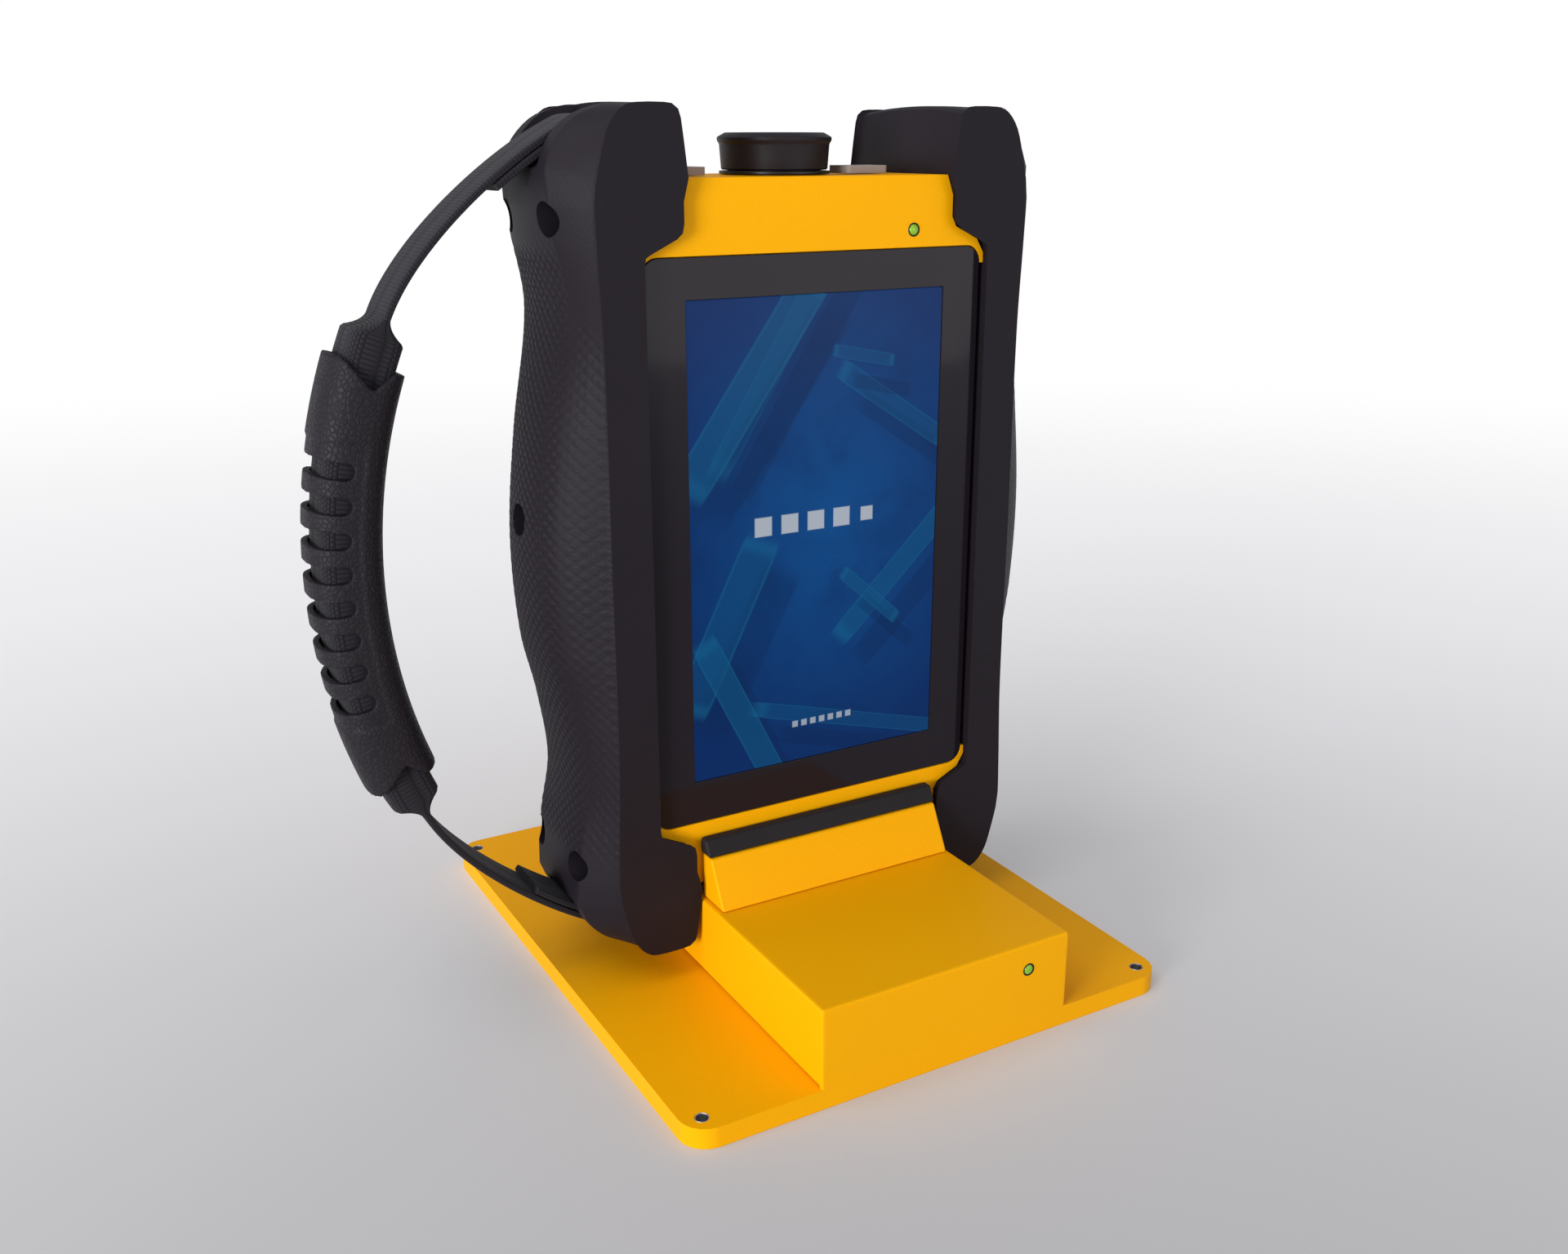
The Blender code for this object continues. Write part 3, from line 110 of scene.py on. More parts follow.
KNURL_BOTTOM = -100 * MM
KNURL_FADE = 9 * MM
KNURL_DEPTH = 0.34 * MM
KNURL_WIDE = 3.5 * MM
KNURL_HIGH = 3.8 * MM
GRIP_EDGE = 1.4 * MM
RECESS_RADIUS = 5 * MM
SCREW_HEAD = 4.3 * MM
SADDLE_HALF = 11.6 * MM
SADDLE_INNER = 60.5 * MM
SADDLE_OUTER = 104 * MM
SADDLE_FLARE = 3.4 * MM

# Strap and handle
STRAP_WIDTH = 20 * MM
STRAP_THICK = 2.3 * MM
STRAP_REACH = 22 * MM
STRAP_LEAVES = math.radians(24)
ROUTE_STEPS = 140
BAR_RADIUS = (BAR_HIGH.z - BAR_LOW.z) / 2
BAR_X = -(BAR_LOW.x + BAR_HIGH.x) / 2
BAR_RISE = (BAR_LOW.z + BAR_HIGH.z) / 2 - MID_Z
HANDLE_RADIUS = 177 * MM
HANDLE_OUT = 144.7 * MM
SLEEVE_HALF = (11.1 * MM, 12.8 * MM)
SLEEVE_WALL = 2.4 * MM
SLEEVE_SINK = 0.5 * MM
SLEEVE_BENDS = 64
SLEEVE_SPAN = math.radians(20.6)
CORE_SPAN = math.radians(23.2)
CORE_HALF = (7.6 * MM, 9.9 * MM)
CORE_SHARE = 0.86
NECK_LENGTH = 6.5 * MM
SLOT_COUNT = 8
SLOT_PITCH = 9.7 * MM
SLOT_HEIGHT = 4.1 * MM
SLOT_DEPTH = 10.9 * MM


# ---------------------------------------------------------------- modelling helpers

def take(*pieces):
    """Selects only these objects and makes the first one active."""
    bpy.ops.object.select_all(action="DESELECT")
    for piece in pieces:
        piece.select_set(True)
    bpy.context.view_layer.objects.active = pieces[0]


def edit(piece, *steps):
    """Runs edit-mode operators on the whole of a piece, each given as (operator, settings)."""
    take(piece)
    bpy.ops.object.mode_set(mode="EDIT")
    bpy.ops.mesh.select_mode(type="VERT")
    for operator, settings in steps:
        bpy.ops.mesh.select_all(action="SELECT")
        operator(**settings)
    bpy.ops.object.mode_set(mode="OBJECT")


def clean(piece, distance=1e-6):
    edit(
        piece,
        (bpy.ops.mesh.remove_doubles, {"threshold": distance}),
        (bpy.ops.mesh.normals_make_consistent, {"inside": False}),
    )


def modify(piece, kind, **settings):
    """Adds a modifier and applies it."""
    take(piece)
    modifier = piece.modifiers.new(kind.lower(), kind)
    for key, value in settings.items():
        setattr(modifier, key, value)
    bpy.ops.object.modifier_apply(modifier=modifier.name)


def named(piece, name):
    piece.name = name
    piece.data.name = name
    return piece


def finish_piece(piece, finish, body, nodes=(), angle=35, flat=False):
    """Gives a piece its finish and its body, and hides the CAD nodes it stands for."""
    take(piece)
    bpy.ops.object.shade_smooth_by_angle(angle=math.radians(angle))
    if flat:
        modify(piece, "WEIGHTED_NORMAL", mode="FACE_AREA", weight=100, keep_sharp=True)
    piece.data.materials.clear()
    piece.data.materials.append(finish.material)
    if body:
        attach(piece, body)
    if nodes:
        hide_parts(*nodes)
    return piece


def sheet_of(name, columns, rows, place, size=(1, 1), caps=False):
    """A grid whose points go where place(u, v) says, with a UV map in metres."""
    bpy.ops.object.select_all(action="DESELECT")
    bpy.ops.mesh.primitive_grid_add(x_subdivisions=columns, y_subdivisions=rows, size=1)
    piece = named(bpy.context.object, name)
    mesh = piece.data
    shares = np.empty(len(mesh.vertices) * 3)
    mesh.vertices.foreach_get("co", shares)
    shares = shares.reshape(-1, 3)[:, :2] + 0.5
    corners = np.empty(len(mesh.loops), int)
    mesh.loops.foreach_get("vertex_index", corners)
    mesh.uv_layers.active.data.foreach_set("uv", (shares[corners] * np.array(size)).ravel())
    points = np.array([place(u, v) for u, v in shares.round(7)])
    mesh.vertices.foreach_set("co", points.ravel())
    mesh.update()
    clean(piece)
    if caps:
        edit(
            piece,
            (bpy.ops.mesh.fill_holes, {"sides": 0}),
            (bpy.ops.mesh.normals_make_consistent, {"inside": False}),
        )
    return piece


def slab(name, outline, plane, low, high):
    """An outline in a plane, made from a filled ring and extruded from low to high."""
    bpy.ops.object.select_all(action="DESELECT")
    bpy.ops.mesh.primitive_circle_add(vertices=len(outline), fill_type="NGON")
    piece = named(bpy.context.object, name)
    turn = {"XY": (0, 1, 2), "XZ": (0, 2, 1), "YZ": (1, 2, 0)}[plane]
    for vertex, (a, b) in zip(piece.data.vertices, outline):
        point = [0, 0, 0]
        for slot, value in zip(turn, (a, b, low)):
            point[slot] = value
        vertex.co = point
    travel = [0, 0, 0]
    travel[turn[2]] = high - low
    move = {"TRANSFORM_OT_translate": {"value": travel}}
    edit(
        piece,
        (bpy.ops.mesh.extrude_region_move, move),
        (bpy.ops.mesh.normals_make_consistent, {"inside": False}),
    )
    return piece


def lathe(name, profile, centre, axis=(0, 0, 1), steps=64):
    """A closed profile of (radius, height) points, spun about an axis through centre."""
    bpy.ops.object.select_all(action="DESELECT")
    bpy.ops.mesh.primitive_circle_add(vertices=len(profile), fill_type="NOTHING")
    piece = named(bpy.context.object, name)
    for vertex, (radius, height) in zip(piece.data.vertices, profile):
        vertex.co = (radius, 0, height)
    edit(
        piece,
        (bpy.ops.mesh.spin, {"steps": steps, "angle": 2 * math.pi, "center": (0, 0, 0), "axis": (0, 0, 1)}),
        (bpy.ops.mesh.remove_doubles, {"threshold": 1e-6}),
        (bpy.ops.mesh.dissolve_degenerate, {"threshold": 1e-7}),
        (bpy.ops.mesh.normals_make_consistent, {"inside": False}),
    )
    turn = Vector((0, 0, 1)).rotation_difference(Vector(axis)).to_matrix().to_4x4()
    piece.data.transform(Matrix.Translation(centre) @ turn)
    return piece


def joined(name, pieces):
    take(*pieces)
    bpy.ops.object.join()
    return named(bpy.context.object, name)


def carve(piece, *cutters):
    """Takes the cutters out of a piece, which don't touch each other."""
    cutter = joined("cutter", cutters) if len(cutters) > 1 else cutters[0]
    modify(piece, "BOOLEAN", operation="DIFFERENCE", solver="MANIFOLD", object=cutter)
    bpy.data.objects.remove(cutter)


def softened(node, name, width, finish, body, bend=None, cut_levels=()):
    """A copy of a CAD node with its edges rounded, which stands for it."""
    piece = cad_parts[node].copy()
    piece.data = piece.data.copy()
    bpy.context.scene.collection.objects.link(piece)
    for key in list(piece.keys()):
        if key.startswith("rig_"):
            del piece[key]
    piece.parent = None
    named(piece, name)
    edit(
        piece,
        (bpy.ops.mesh.remove_doubles, {"threshold": 2e-6}),
        (bpy.ops.mesh.dissolve_limited, {"angle_limit": math.radians(1.5)}),
    )
    for level in cut_levels:
        edit(piece, (bpy.ops.mesh.bisect, {"plane_co": (0, 0, level), "plane_no": (0, 0, 1)}))
    if bend:
        for vertex in piece.data.vertices:
            vertex.co = bend(vertex.co)
    modify(
        piece, "BEVEL", width=width, segments=3, limit_method="ANGLE", angle_limit=math.radians(38),
        use_clamp_overlap=True,
    )
    return finish_piece(piece, finish, body, (node,), flat=True)


def arc(centre, radius, start, end, steps):
    """Points on an arc, with its angles in degrees."""
    turns = [math.radians(start + (end - start) * i / steps) for i in range(steps + 1)]
    return [(centre[0] + radius * math.cos(t), centre[1] + radius * math.sin(t)) for t in turns]


def rounded_rectangle(width, height, radius, middle=(0, 0), steps=8):
    points = []
    for index, (side_x, side_y) in enumerate(((1, 1), (-1, 1), (-1, -1), (1, -1))):
        centre = (middle[0] + side_x * (width / 2 - radius), middle[1] + side_y * (height / 2 - radius))
        points += arc(centre, radius, 90 * index, 90 * index + 90, steps)
    return points


def curve_value(knots, value):
    """A smooth curve through (position, height) knots."""
    knots = sorted(knots)
    value = min(max(value, knots[0][0]), knots[-1][0])
    index = max(i for i, knot in enumerate(knots[:-1]) if knot[0] <= value)
    before, start, end, after = (knots[min(max(index + k, 0), len(knots) - 1)] for k in (-1, 0, 1, 2))
    span = end[0] - start[0]
    t = (value - start[0]) / span
    slope_in = (end[1] - before[1]) / (end[0] - before[0]) * span
    slope_out = (after[1] - start[1]) / (after[0] - start[0]) * span
    return (
        (2 * t ** 3 - 3 * t * t + 1) * start[1] + (t ** 3 - 2 * t * t + t) * slope_in
        + (3 * t * t - 2 * t ** 3) * end[1] + (t ** 3 - t * t) * slope_out
    )


def curve_point(points, share):
    """A point at a share of the way through a list of points, on a smooth curve."""
    along = share * (len(points) - 1)
    return tuple(curve_value([(i, point[k]) for i, point in enumerate(points)], along) for k in (0, 1))


def step(low, high, value):
    """Rises smoothly from 0 at low to 1 at high."""
    t = min(max((value - low) / (high - low), 0), 1)
    return t * t * (3 - 2 * t)


# ---------------------------------------------------------------- finishes

class Socket:
    """A node's output. Arithmetic on it adds Math nodes."""

    def __init__(self, finish, output):
        self.finish, self.output = finish, output

    def math(self, operation, *values, clamp=False):
        inputs = dict(enumerate((self, *values)))
        return self.finish.node("ShaderNodeMath", {"operation": operation, "use_clamp": clamp}, inputs)

    def __add__(self, other):
        return self.math("ADD", other)

    def __mul__(self, other):
        return self.math("MULTIPLY", other)

    def __sub__(self, other):
        return self.math("SUBTRACT", other)

    def __rsub__(self, other):
        return (self * -1) + other

    def __truediv__(self, other):
        return self.math("DIVIDE", other)

    __radd__ = __add__
    __rmul__ = __mul__

    def between(self, low, high):
        """0 at low and 1 at high, smooth in between."""
        return self.finish.node(
            "ShaderNodeMapRange", {"interpolation_type": "SMOOTHSTEP"}, {0: self, 1: low, 2: high}
        )


class Finish:
    """A material round one Principled shader."""

    def __init__(self, name, colour, roughness, metallic=0.0, **fixed):
        self.material = bpy.data.materials.new(name)
        self.material.use_nodes = True
        self.tree = self.material.node_tree
        self.shader = self.tree.nodes["Principled BSDF"]
        values = {"Base Color": (*colour, 1), "Roughness": roughness, "Metallic": metallic}
        values.update({key.replace("_", " "): value for key, value in fixed.items()})
        for key, value in values.items():
            self.feed(key, value)
        self.colour = colour

    def node(self, kind, settings=None, inputs=None, output=0):
        made = self.tree.nodes.new(kind)
        for key, value in (settings or {}).items():
            setattr(made, key, value)
        for key, value in (inputs or {}).items():
            self.join(made.inputs[key], value)
        return Socket(self, made.outputs[output])

    def join(self, target, value):
        if isinstance(value, Socket):
            self.tree.links.new(value.output, target)
        else:
            target.default_value = value

    def feed(self, name, value):
        self.join(self.shader.inputs[name], value)

    def place(self, kind="Object"):
        return self.node("ShaderNodeTexCoord", output=kind)

    def parts_of(self, vector):
        made = self.node("ShaderNodeSeparateXYZ", inputs={0: vector}).output.node
        return [Socket(self, output) for output in made.outputs]

    def scaled(self, vector, scale):
        return self.node("ShaderNodeMapping", inputs={0: vector, "Scale": scale})

    def noise(self, scale, detail=3.0, roughness=0.5, vector=None):
        inputs = {"Vector": vector or self.place(), "Scale": scale, "Detail": detail, "Roughness": roughness}
        return self.node("ShaderNodeTexNoise", inputs=inputs)

    def cells(self, scale, feature="F1"):
        inputs = {"Vector": self.place(), "Scale": scale}
        return self.node("ShaderNodeTexVoronoi", {"feature": feature}, inputs, "Distance")

    def mix(self, factor, low, high):
        """Colours from low to high."""
        low, high = (value if isinstance(value, Socket) else (*value, 1) for value in (low, high))
        return self.node("ShaderNodeMix", {"data_type": "RGBA"}, {0: factor, 6: low, 7: high}, output=2)

    def tint(self, factor, low, high):
        """Feeds the base colour from two shades of the finish's colour."""
        shades = [tuple(min(channel * share, 1) for channel in self.colour) for share in (low, high)]
        self.feed("Base Color", self.mix(factor, *shades))

    def bump(self, height, distance, strength):
        inputs = {"Height": height, "Distance": distance, "Strength": strength}
        return self.node("ShaderNodeBump", inputs=inputs)


def powder_coat():
    finish = Finish("powder_coat", (0.93, 0.42, 0.001), 0.55, Specular_IOR_Level=0.06)
    speckle = finish.noise(1500, 2)
    cloud = finish.noise(18, 3)
    finish.tint(speckle * 0.7 + cloud * 0.3, 0.93, 1.06)
    finish.feed("Roughness", speckle * 0.16 + 0.38)
    finish.feed("Normal", finish.bump(speckle, 0.12 * MM, 0.35))
    return finish


def grip_polymer():
    finish = Finish("grip_polymer", (0.0125, 0.0095, 0.0140), 0.58, Specular_IOR_Level=0.14)
    grain = finish.cells(1400)
    cloud = finish.noise(30, 4)
    finish.tint(cloud, 0.86, 1.15)
    finish.feed("Roughness", cloud * 0.14 + 0.46)
    finish.feed("Normal", finish.bump(grain, 0.08 * MM, 0.5))
    return finish


def soft_rubber(name, colour, roughness=0.62, grain=900):
    finish = Finish(name, colour, roughness, Specular_IOR_Level=0.16)
    fine = finish.noise(grain, 3)
    finish.tint(finish.noise(40, 3), 0.85, 1.15)
    finish.feed("Roughness", fine * 0.15 + (roughness - 0.07))
    finish.feed("Normal", finish.bump(fine, 0.1 * MM, 0.4))
    return finish


def sleeve_rubber():
    """Moulded rubber with a leather grain, its creases painted darker and its pebble tops lighter as painted
    shade.
    """
    finish = Finish("sleeve_rubber", (0.015, 0.0125, 0.0165), 0.58, Specular_IOR_Level=0.16)
    creases = finish.cells(620, "DISTANCE_TO_EDGE")
    pebbles_and_shade = creases.between(0, 0.22)
    cloud = finish.noise(60, 4)
    # painted shade: darker in the creases between pebbles, lighter on their tops
    finish.tint(pebbles_and_shade * 0.6 + cloud * 0.4, 0.8, 1.25)
    finish.feed("Roughness", 0.62 - pebbles_and_shade * 0.12)
    finish.feed("Normal", finish.bump(pebbles_and_shade, 0.22 * MM, 0.55))
    return finish


def woven(name, colour, across, along, depth, stagger=True):
    """Plain weave from rounded cells on the piece's own UV map, in metres, with painted shade: darker in the
    gaps between yarns and lighter on their crests.
    """
    finish = Finish(name, colour, 0.85, Specular_IOR_Level=0.25, Sheen_Weight=0.05)
    u, v, _ = finish.parts_of(finish.place("UV"))
    column = u / across
    odd = column.math("FLOOR").math("MODULO", 2).math("ABSOLUTE")
    row = v / along + (odd * 0.5 if stagger else 0)
    bulge_u = (column.math("FRACT") - 0.5).math("ABSOLUTE") * 2
    bulge_v = (row.math("FRACT") - 0.5).math("ABSOLUTE") * 2
    yarn_and_shade = ((1 - bulge_u * bulge_u) * (1 - bulge_v * bulge_v)).math("SQRT", clamp=True)
    fibres = finish.noise(2600, 2)
    # painted shade: each yarn is painted lighter on its crest and darker towards the gaps between yarns
    finish.tint(yarn_and_shade * 0.8 + fibres * 0.2, 0.35, 1.35)
    finish.feed("Roughness", 0.95 - yarn_and_shade * 0.25)
    finish.feed("Normal", finish.bump(yarn_and_shade + fibres * 0.15, depth, 0.9))
    return finish


def plain_metal(name, colour, roughness):
    finish = Finish(name, colour, roughness, 1.0)
    brushed = 0.25
    lines = finish.noise(900, 2, vector=finish.scaled(finish.place(), (1, 1, 0.06)))
    finish.tint(lines, 0.9, 1.08)
    finish.feed("Roughness", lines * brushed + (roughness - brushed / 2))
    finish.feed("Normal", finish.bump(lines, 0.03 * MM, 0.3))
    return finish


def bezel_gloss():
    finish = Finish("bezel_gloss", (0.0125, 0.0095, 0.0140), 0.09, Specular_IOR_Level=0.17)
    smears = finish.noise(25, 4)
    finish.feed("Roughness", smears.between(0.35, 0.8) * 0.07 + 0.06)
    return finish


def board_finish():
    finish = Finish("circuit_board", (0.02, 0.16, 0.07), 0.45)
    x, _, z = finish.parts_of(finish.place())
    tracks = ((x + z) * 420).math("SINE").between(0.55, 0.8)
    tracks = tracks + ((z - x) * 300).math("SINE").between(0.8, 0.95)
    shade = finish.mix(tracks.math("MINIMUM", 1), (0.012, 0.11, 0.045), (0.05, 0.28, 0.11))
    finish.feed("Base Color", shade)
    finish.feed("Roughness", 0.5 - tracks * 0.1)
    finish.feed("Normal", finish.bump(tracks, 0.05 * MM, 0.4))
    return finish


def lamp():
    finish = Finish("green_lamp", (0.2, 0.4, 0.01), 0.12, Coat_Weight=0.4, Emission_Strength=0.08)
    spots = finish.cells(900)
    glow = finish.mix(spots.between(0, 0.8), (0.5, 1.0, 0.12), (0.12, 0.75, 0.02))
    finish.feed("Emission Color", glow)
    return finish


def streak(x, z, middle, length, width, turn):
    """A soft-ended bar on the display, with a long fade on one side."""
    c, s = math.cos(math.radians(turn)), math.sin(math.radians(turn))
    along = (x - middle[0]) * c + (z - middle[1]) * s
    side = (z - middle[1]) * c - (x - middle[0]) * s
    ends = 1 - (along / length).math("ABSOLUTE").between(0.75, 1.0)
    body = 1 - (side / width + along / length * 0.35).math("ABSOLUTE").between(0.72, 0.9)
    return ends * body


def square(x, z, middle, half, edge):
    """A blank square on the display, where a word's letter would be."""
    across = ((x - middle[0]) * 0.6).math("ABSOLUTE")
    return 1 - across.math("MAXIMUM", (z - middle[1]).math("ABSOLUTE")).between(half, half + edge)


def display_picture():
    """A blue gradient with pale overlapping bars and blank squares, lit from behind."""
    finish = Finish("display_picture", (0.0, 0.0, 0.0), 0.2, Emission_Strength=0.55, Specular_IOR_Level=0.1)
    x, _, z = finish.parts_of(finish.place())
    u, v = x / (DISPLAY_WIDTH / 2), (z - SCREEN_Z) / (DISPLAY_HEIGHT / 2)
    radial = ((u - 0.1) * (u - 0.1) * 0.5 + (v - 0.1) * (v - 0.1) * 0.75).math("SQRT", clamp=True)
    cloud = finish.noise(38, 5, 0.6)
    base = finish.mix(radial, (0.004, 0.115, 0.42), (0.0015, 0.04, 0.21))
    base = finish.mix(cloud.between(0.42, 0.75) * 0.45, base, (0.001, 0.035, 0.18))
    bars = [
        ((-0.30, 0.78), 0.60, 0.06, 60), ((-0.52, 0.66), 0.55, 0.10, 58), ((0.62, 0.52), 0.34, 0.05, -30),
        ((0.66, -0.20), 0.42, 0.06, 46), ((-0.74, -0.34), 0.42, 0.10, 68), ((-0.62, -0.74), 0.42, 0.07, -60),
        ((0.30, -0.86), 0.55, 0.04, -14), ((0.44, -0.30), 0.20, 0.035, -38), ((0.36, 0.74), 0.16, 0.03, -8),
    ]
    for index, (middle, length, width, turn) in enumerate(bars):
        centre = (middle[0] * 0.6, middle[1])
        bar = streak(u * 0.6, v, centre, length, width, turn)
        shadow = streak(u * 0.6, v, (centre[0] + 0.09, centre[1] - 0.13), length, width * 1.2, turn)
        base = finish.mix(shadow * 0.35, base, (0.001, 0.026, 0.13))
        base = finish.mix(bar * (0.35 + 0.2 * (index % 2)), base, (0.004, 0.14, 0.36))
        rim = bar * (1 - bar) * 1.2
        base = finish.mix(rim.math("MINIMUM", 1), base, (0.01, 0.26, 0.55))
    mark = 0
    for index in range(5):
        size = 0.062 if index < 4 else 0.045
        mark = mark + square(u, v, (0.21 * (index - 2) - 0.02, 0.07), size * 0.6, 0.006)
    for index in range(7):
        mark = mark + square(u, v, (0.075 * (index - 3) + 0.04, -0.83), 0.012, 0.004) * 0.8
    base = finish.mix(mark * 0.9, base, (0.72, 0.8, 0.9))
    inside = (1 - u.math("ABSOLUTE").between(0.996, 1.0)) * (1 - v.math("ABSOLUTE").between(0.997, 1.0))
    finish.feed("Emission Color", finish.mix(inside, (0.0, 0.0, 0.0), base))
    return finish


PAINT = powder_coat()
GRIP = grip_polymer()
RUBBER = soft_rubber("black_rubber", (0.018, 0.0155, 0.018))
PLASTIC = soft_rubber("black_plastic", (0.016, 0.013, 0.0165), 0.45, 1400)
GREY_RUBBER = soft_rubber("grey_rubber", (0.33, 0.285, 0.27), 0.55)
SLEEVE = sleeve_rubber()
RIBBED = woven("ribbed_webbing", (0.014, 0.012, 0.017), 1.6 * MM, 1.15 * MM, 0.16 * MM, False)
BASKET = woven("basket_weave", (0.013, 0.011, 0.016), 2.6 * MM, 1.3 * MM, 0.45 * MM)
BEZEL = bezel_gloss()
PICTURE = display_picture()
STEEL = plain_metal("satin_steel", (0.55, 0.55, 0.57), 0.35)
BLACK_STEEL = plain_metal("blackened_steel", (0.06, 0.06, 0.065), 0.38)
GOLD = plain_metal("contact_gold", (0.9, 0.62, 0.24), 0.28)
ANODISED = plain_metal("black_anodised", (0.05, 0.05, 0.055), 0.4)
BOARD = board_finish()
BATTERY = soft_rubber("battery_wrap", (0.08, 0.09, 0.1), 0.4)
LAMP = lamp()


# ---------------------------------------------------------------- dock

def over_plate_edge(point):
    """Brings the foot of the dock's front wall down over the plate's front edge, which it is flush with."""
    if point.y > DOCK_LOW.y + 1 * MM or point.z > PLATE_HIGH.z + 1 * MM:
        return point
    return Vector((point.x, point.y - 0.12 * MM, 0.15 * MM))


def make_dock():
    softened("dock_base_plate", "base_plate", 0.9 * MM, PAINT, "dock")
    softened("dock_housing", "dock_shell", 0.5 * MM, PAINT, "dock", over_plate_edge)
    for place in ("front", "rear"):
        softened(f"{place}_rest", f"{place}_rest_wedge", 0.7 * MM, PAINT, "dock")
        softened(f"{place}_rest_pad", f"{place}_rest_strip", 0.5 * MM, RUBBER, "dock")
    for side in ("left", "right"):
        softened(f"{side}_seat_pad", f"{side}_seat_cushion", 0.4 * MM, RUBBER, "dock")
    softened("contact_block", "contact_holder", 0.3 * MM, PLASTIC, "dock")
    softened("power_inlet", "power_socket", 0.3 * MM, PLASTIC, "dock")
    top = PLATE_HIGH.z
    profile = [
        (1.9 * MM, 0.3 * MM), (HOLE_RADIUS, 0.3 * MM), (HOLE_RADIUS, top - 0.1 * MM),
        (2.1 * MM, top + 0.03 * MM), (1.9 * MM, top - 0.1 * MM),
    ]
    for index, (side_x, side_y) in enumerate(((-1, -1), (1, -1), (-1, 1), (1, 1))):
        centre = (side_x * (PLATE_HIGH.x - HOLE_INSET), side_y * (PLATE_HIGH.y - HOLE_INSET), 0)
        liner = lathe(f"hole_liner_{index + 1}", profile, centre, steps=40)
        finish_piece(liner, STEEL, "dock")


def lens(name, node, body):
    """A domed lamp in a dark collar, in the place of a CAD lamp."""
    low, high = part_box(node)
    x, z = (low.x + high.x) / 2, (low.z + high.z) / 2
    depth = high.y - low.y
    rim = depth - LAMP_DOME
    dome = [(0, 0), (2.4 * MM, 0), (2.4 * MM, 1.4 * MM), (LAMP_RADIUS, 1.4 * MM), (LAMP_RADIUS, rim)]
    for turn in (20, 40, 60, 75):
        c, s = math.cos(math.radians(turn)), math.sin(math.radians(turn))
        dome.append((LAMP_RADIUS * c, rim + LAMP_DOME * s))
    dome.append((0, depth))
    piece = lathe(name, dome, (x, high.y, z), (0, -1, 0), 40)
    finish_piece(piece, LAMP, body, (node,))
    face = DOCK_LOW.y if body == "dock" else CASE_LOW.y
    ring = [(1.76 * MM, 0), (2.0 * MM, 0), (2.16 * MM, 1.5 * MM), (1.98 * MM, 1.72 * MM), (1.76 * MM, 1.6 * MM)]
    collar = lathe(f"{name}_collar", ring, (x, face + 1.5 * MM, z), (0, -1, 0), 40)
    finish_piece(collar, PLASTIC, body)


# ---------------------------------------------------------------- handheld housing

def make_housing():
    crease = MID_Z + CASE_CREASE

    def lean_back(point):
        """The strip above the crease leans back a little."""
        if point.z > crease + MM and point.y < CASE_LOW.y + 0.1 * MM:
            return Vector((point.x, point.y + 0.9 * MM, point.z))
        return point

    softened("main_housing", "front_case", 0.7 * MM, PAINT, "handheld", lean_back, (crease,))
    softened("rear_cover", "rear_case", 0.9 * MM, PAINT, "handheld")
    softened("battery_door", "battery_lid", 0.4 * MM, PAINT, "handheld")


def make_display():
    middle = (0, (GLASS_LOW.z + GLASS_HIGH.z) / 2)
    size = (GLASS_HIGH.x - GLASS_LOW.x, GLASS_HIGH.z - GLASS_LOW.z)
    outline = rounded_rectangle(*size, 5.3 * MM, middle)
    glass = slab("front_bezel", outline, "XZ", GLASS_LOW.y, GLASS_HIGH.y)
    window = rounded_rectangle(DISPLAY_WIDTH, DISPLAY_HEIGHT, 0.4 * MM, (0, SCREEN_Z), 3)
    carve(glass, slab("window_cutter", window, "XZ", GLASS_LOW.y - MM, GLASS_HIGH.y + MM))
    modify(glass, "BEVEL", width=0.25 * MM, segments=2, limit_method="ANGLE", angle_limit=math.radians(50))
    finish_piece(glass, BEZEL, "handheld", ("front_glass",), flat=True)
    size = (DISPLAY_WIDTH - DISPLAY_PLAY, DISPLAY_HEIGHT - DISPLAY_PLAY)
    behind = rounded_rectangle(*size, 0.3 * MM, (0, SCREEN_Z), 3)
    pane = slab("display_pane", behind, "XZ", GLASS_LOW.y + 0.35 * MM, GLASS_HIGH.y - 0.1 * MM)
    finish_piece(pane, PICTURE, "handheld")


# ---------------------------------------------------------------- top fittings

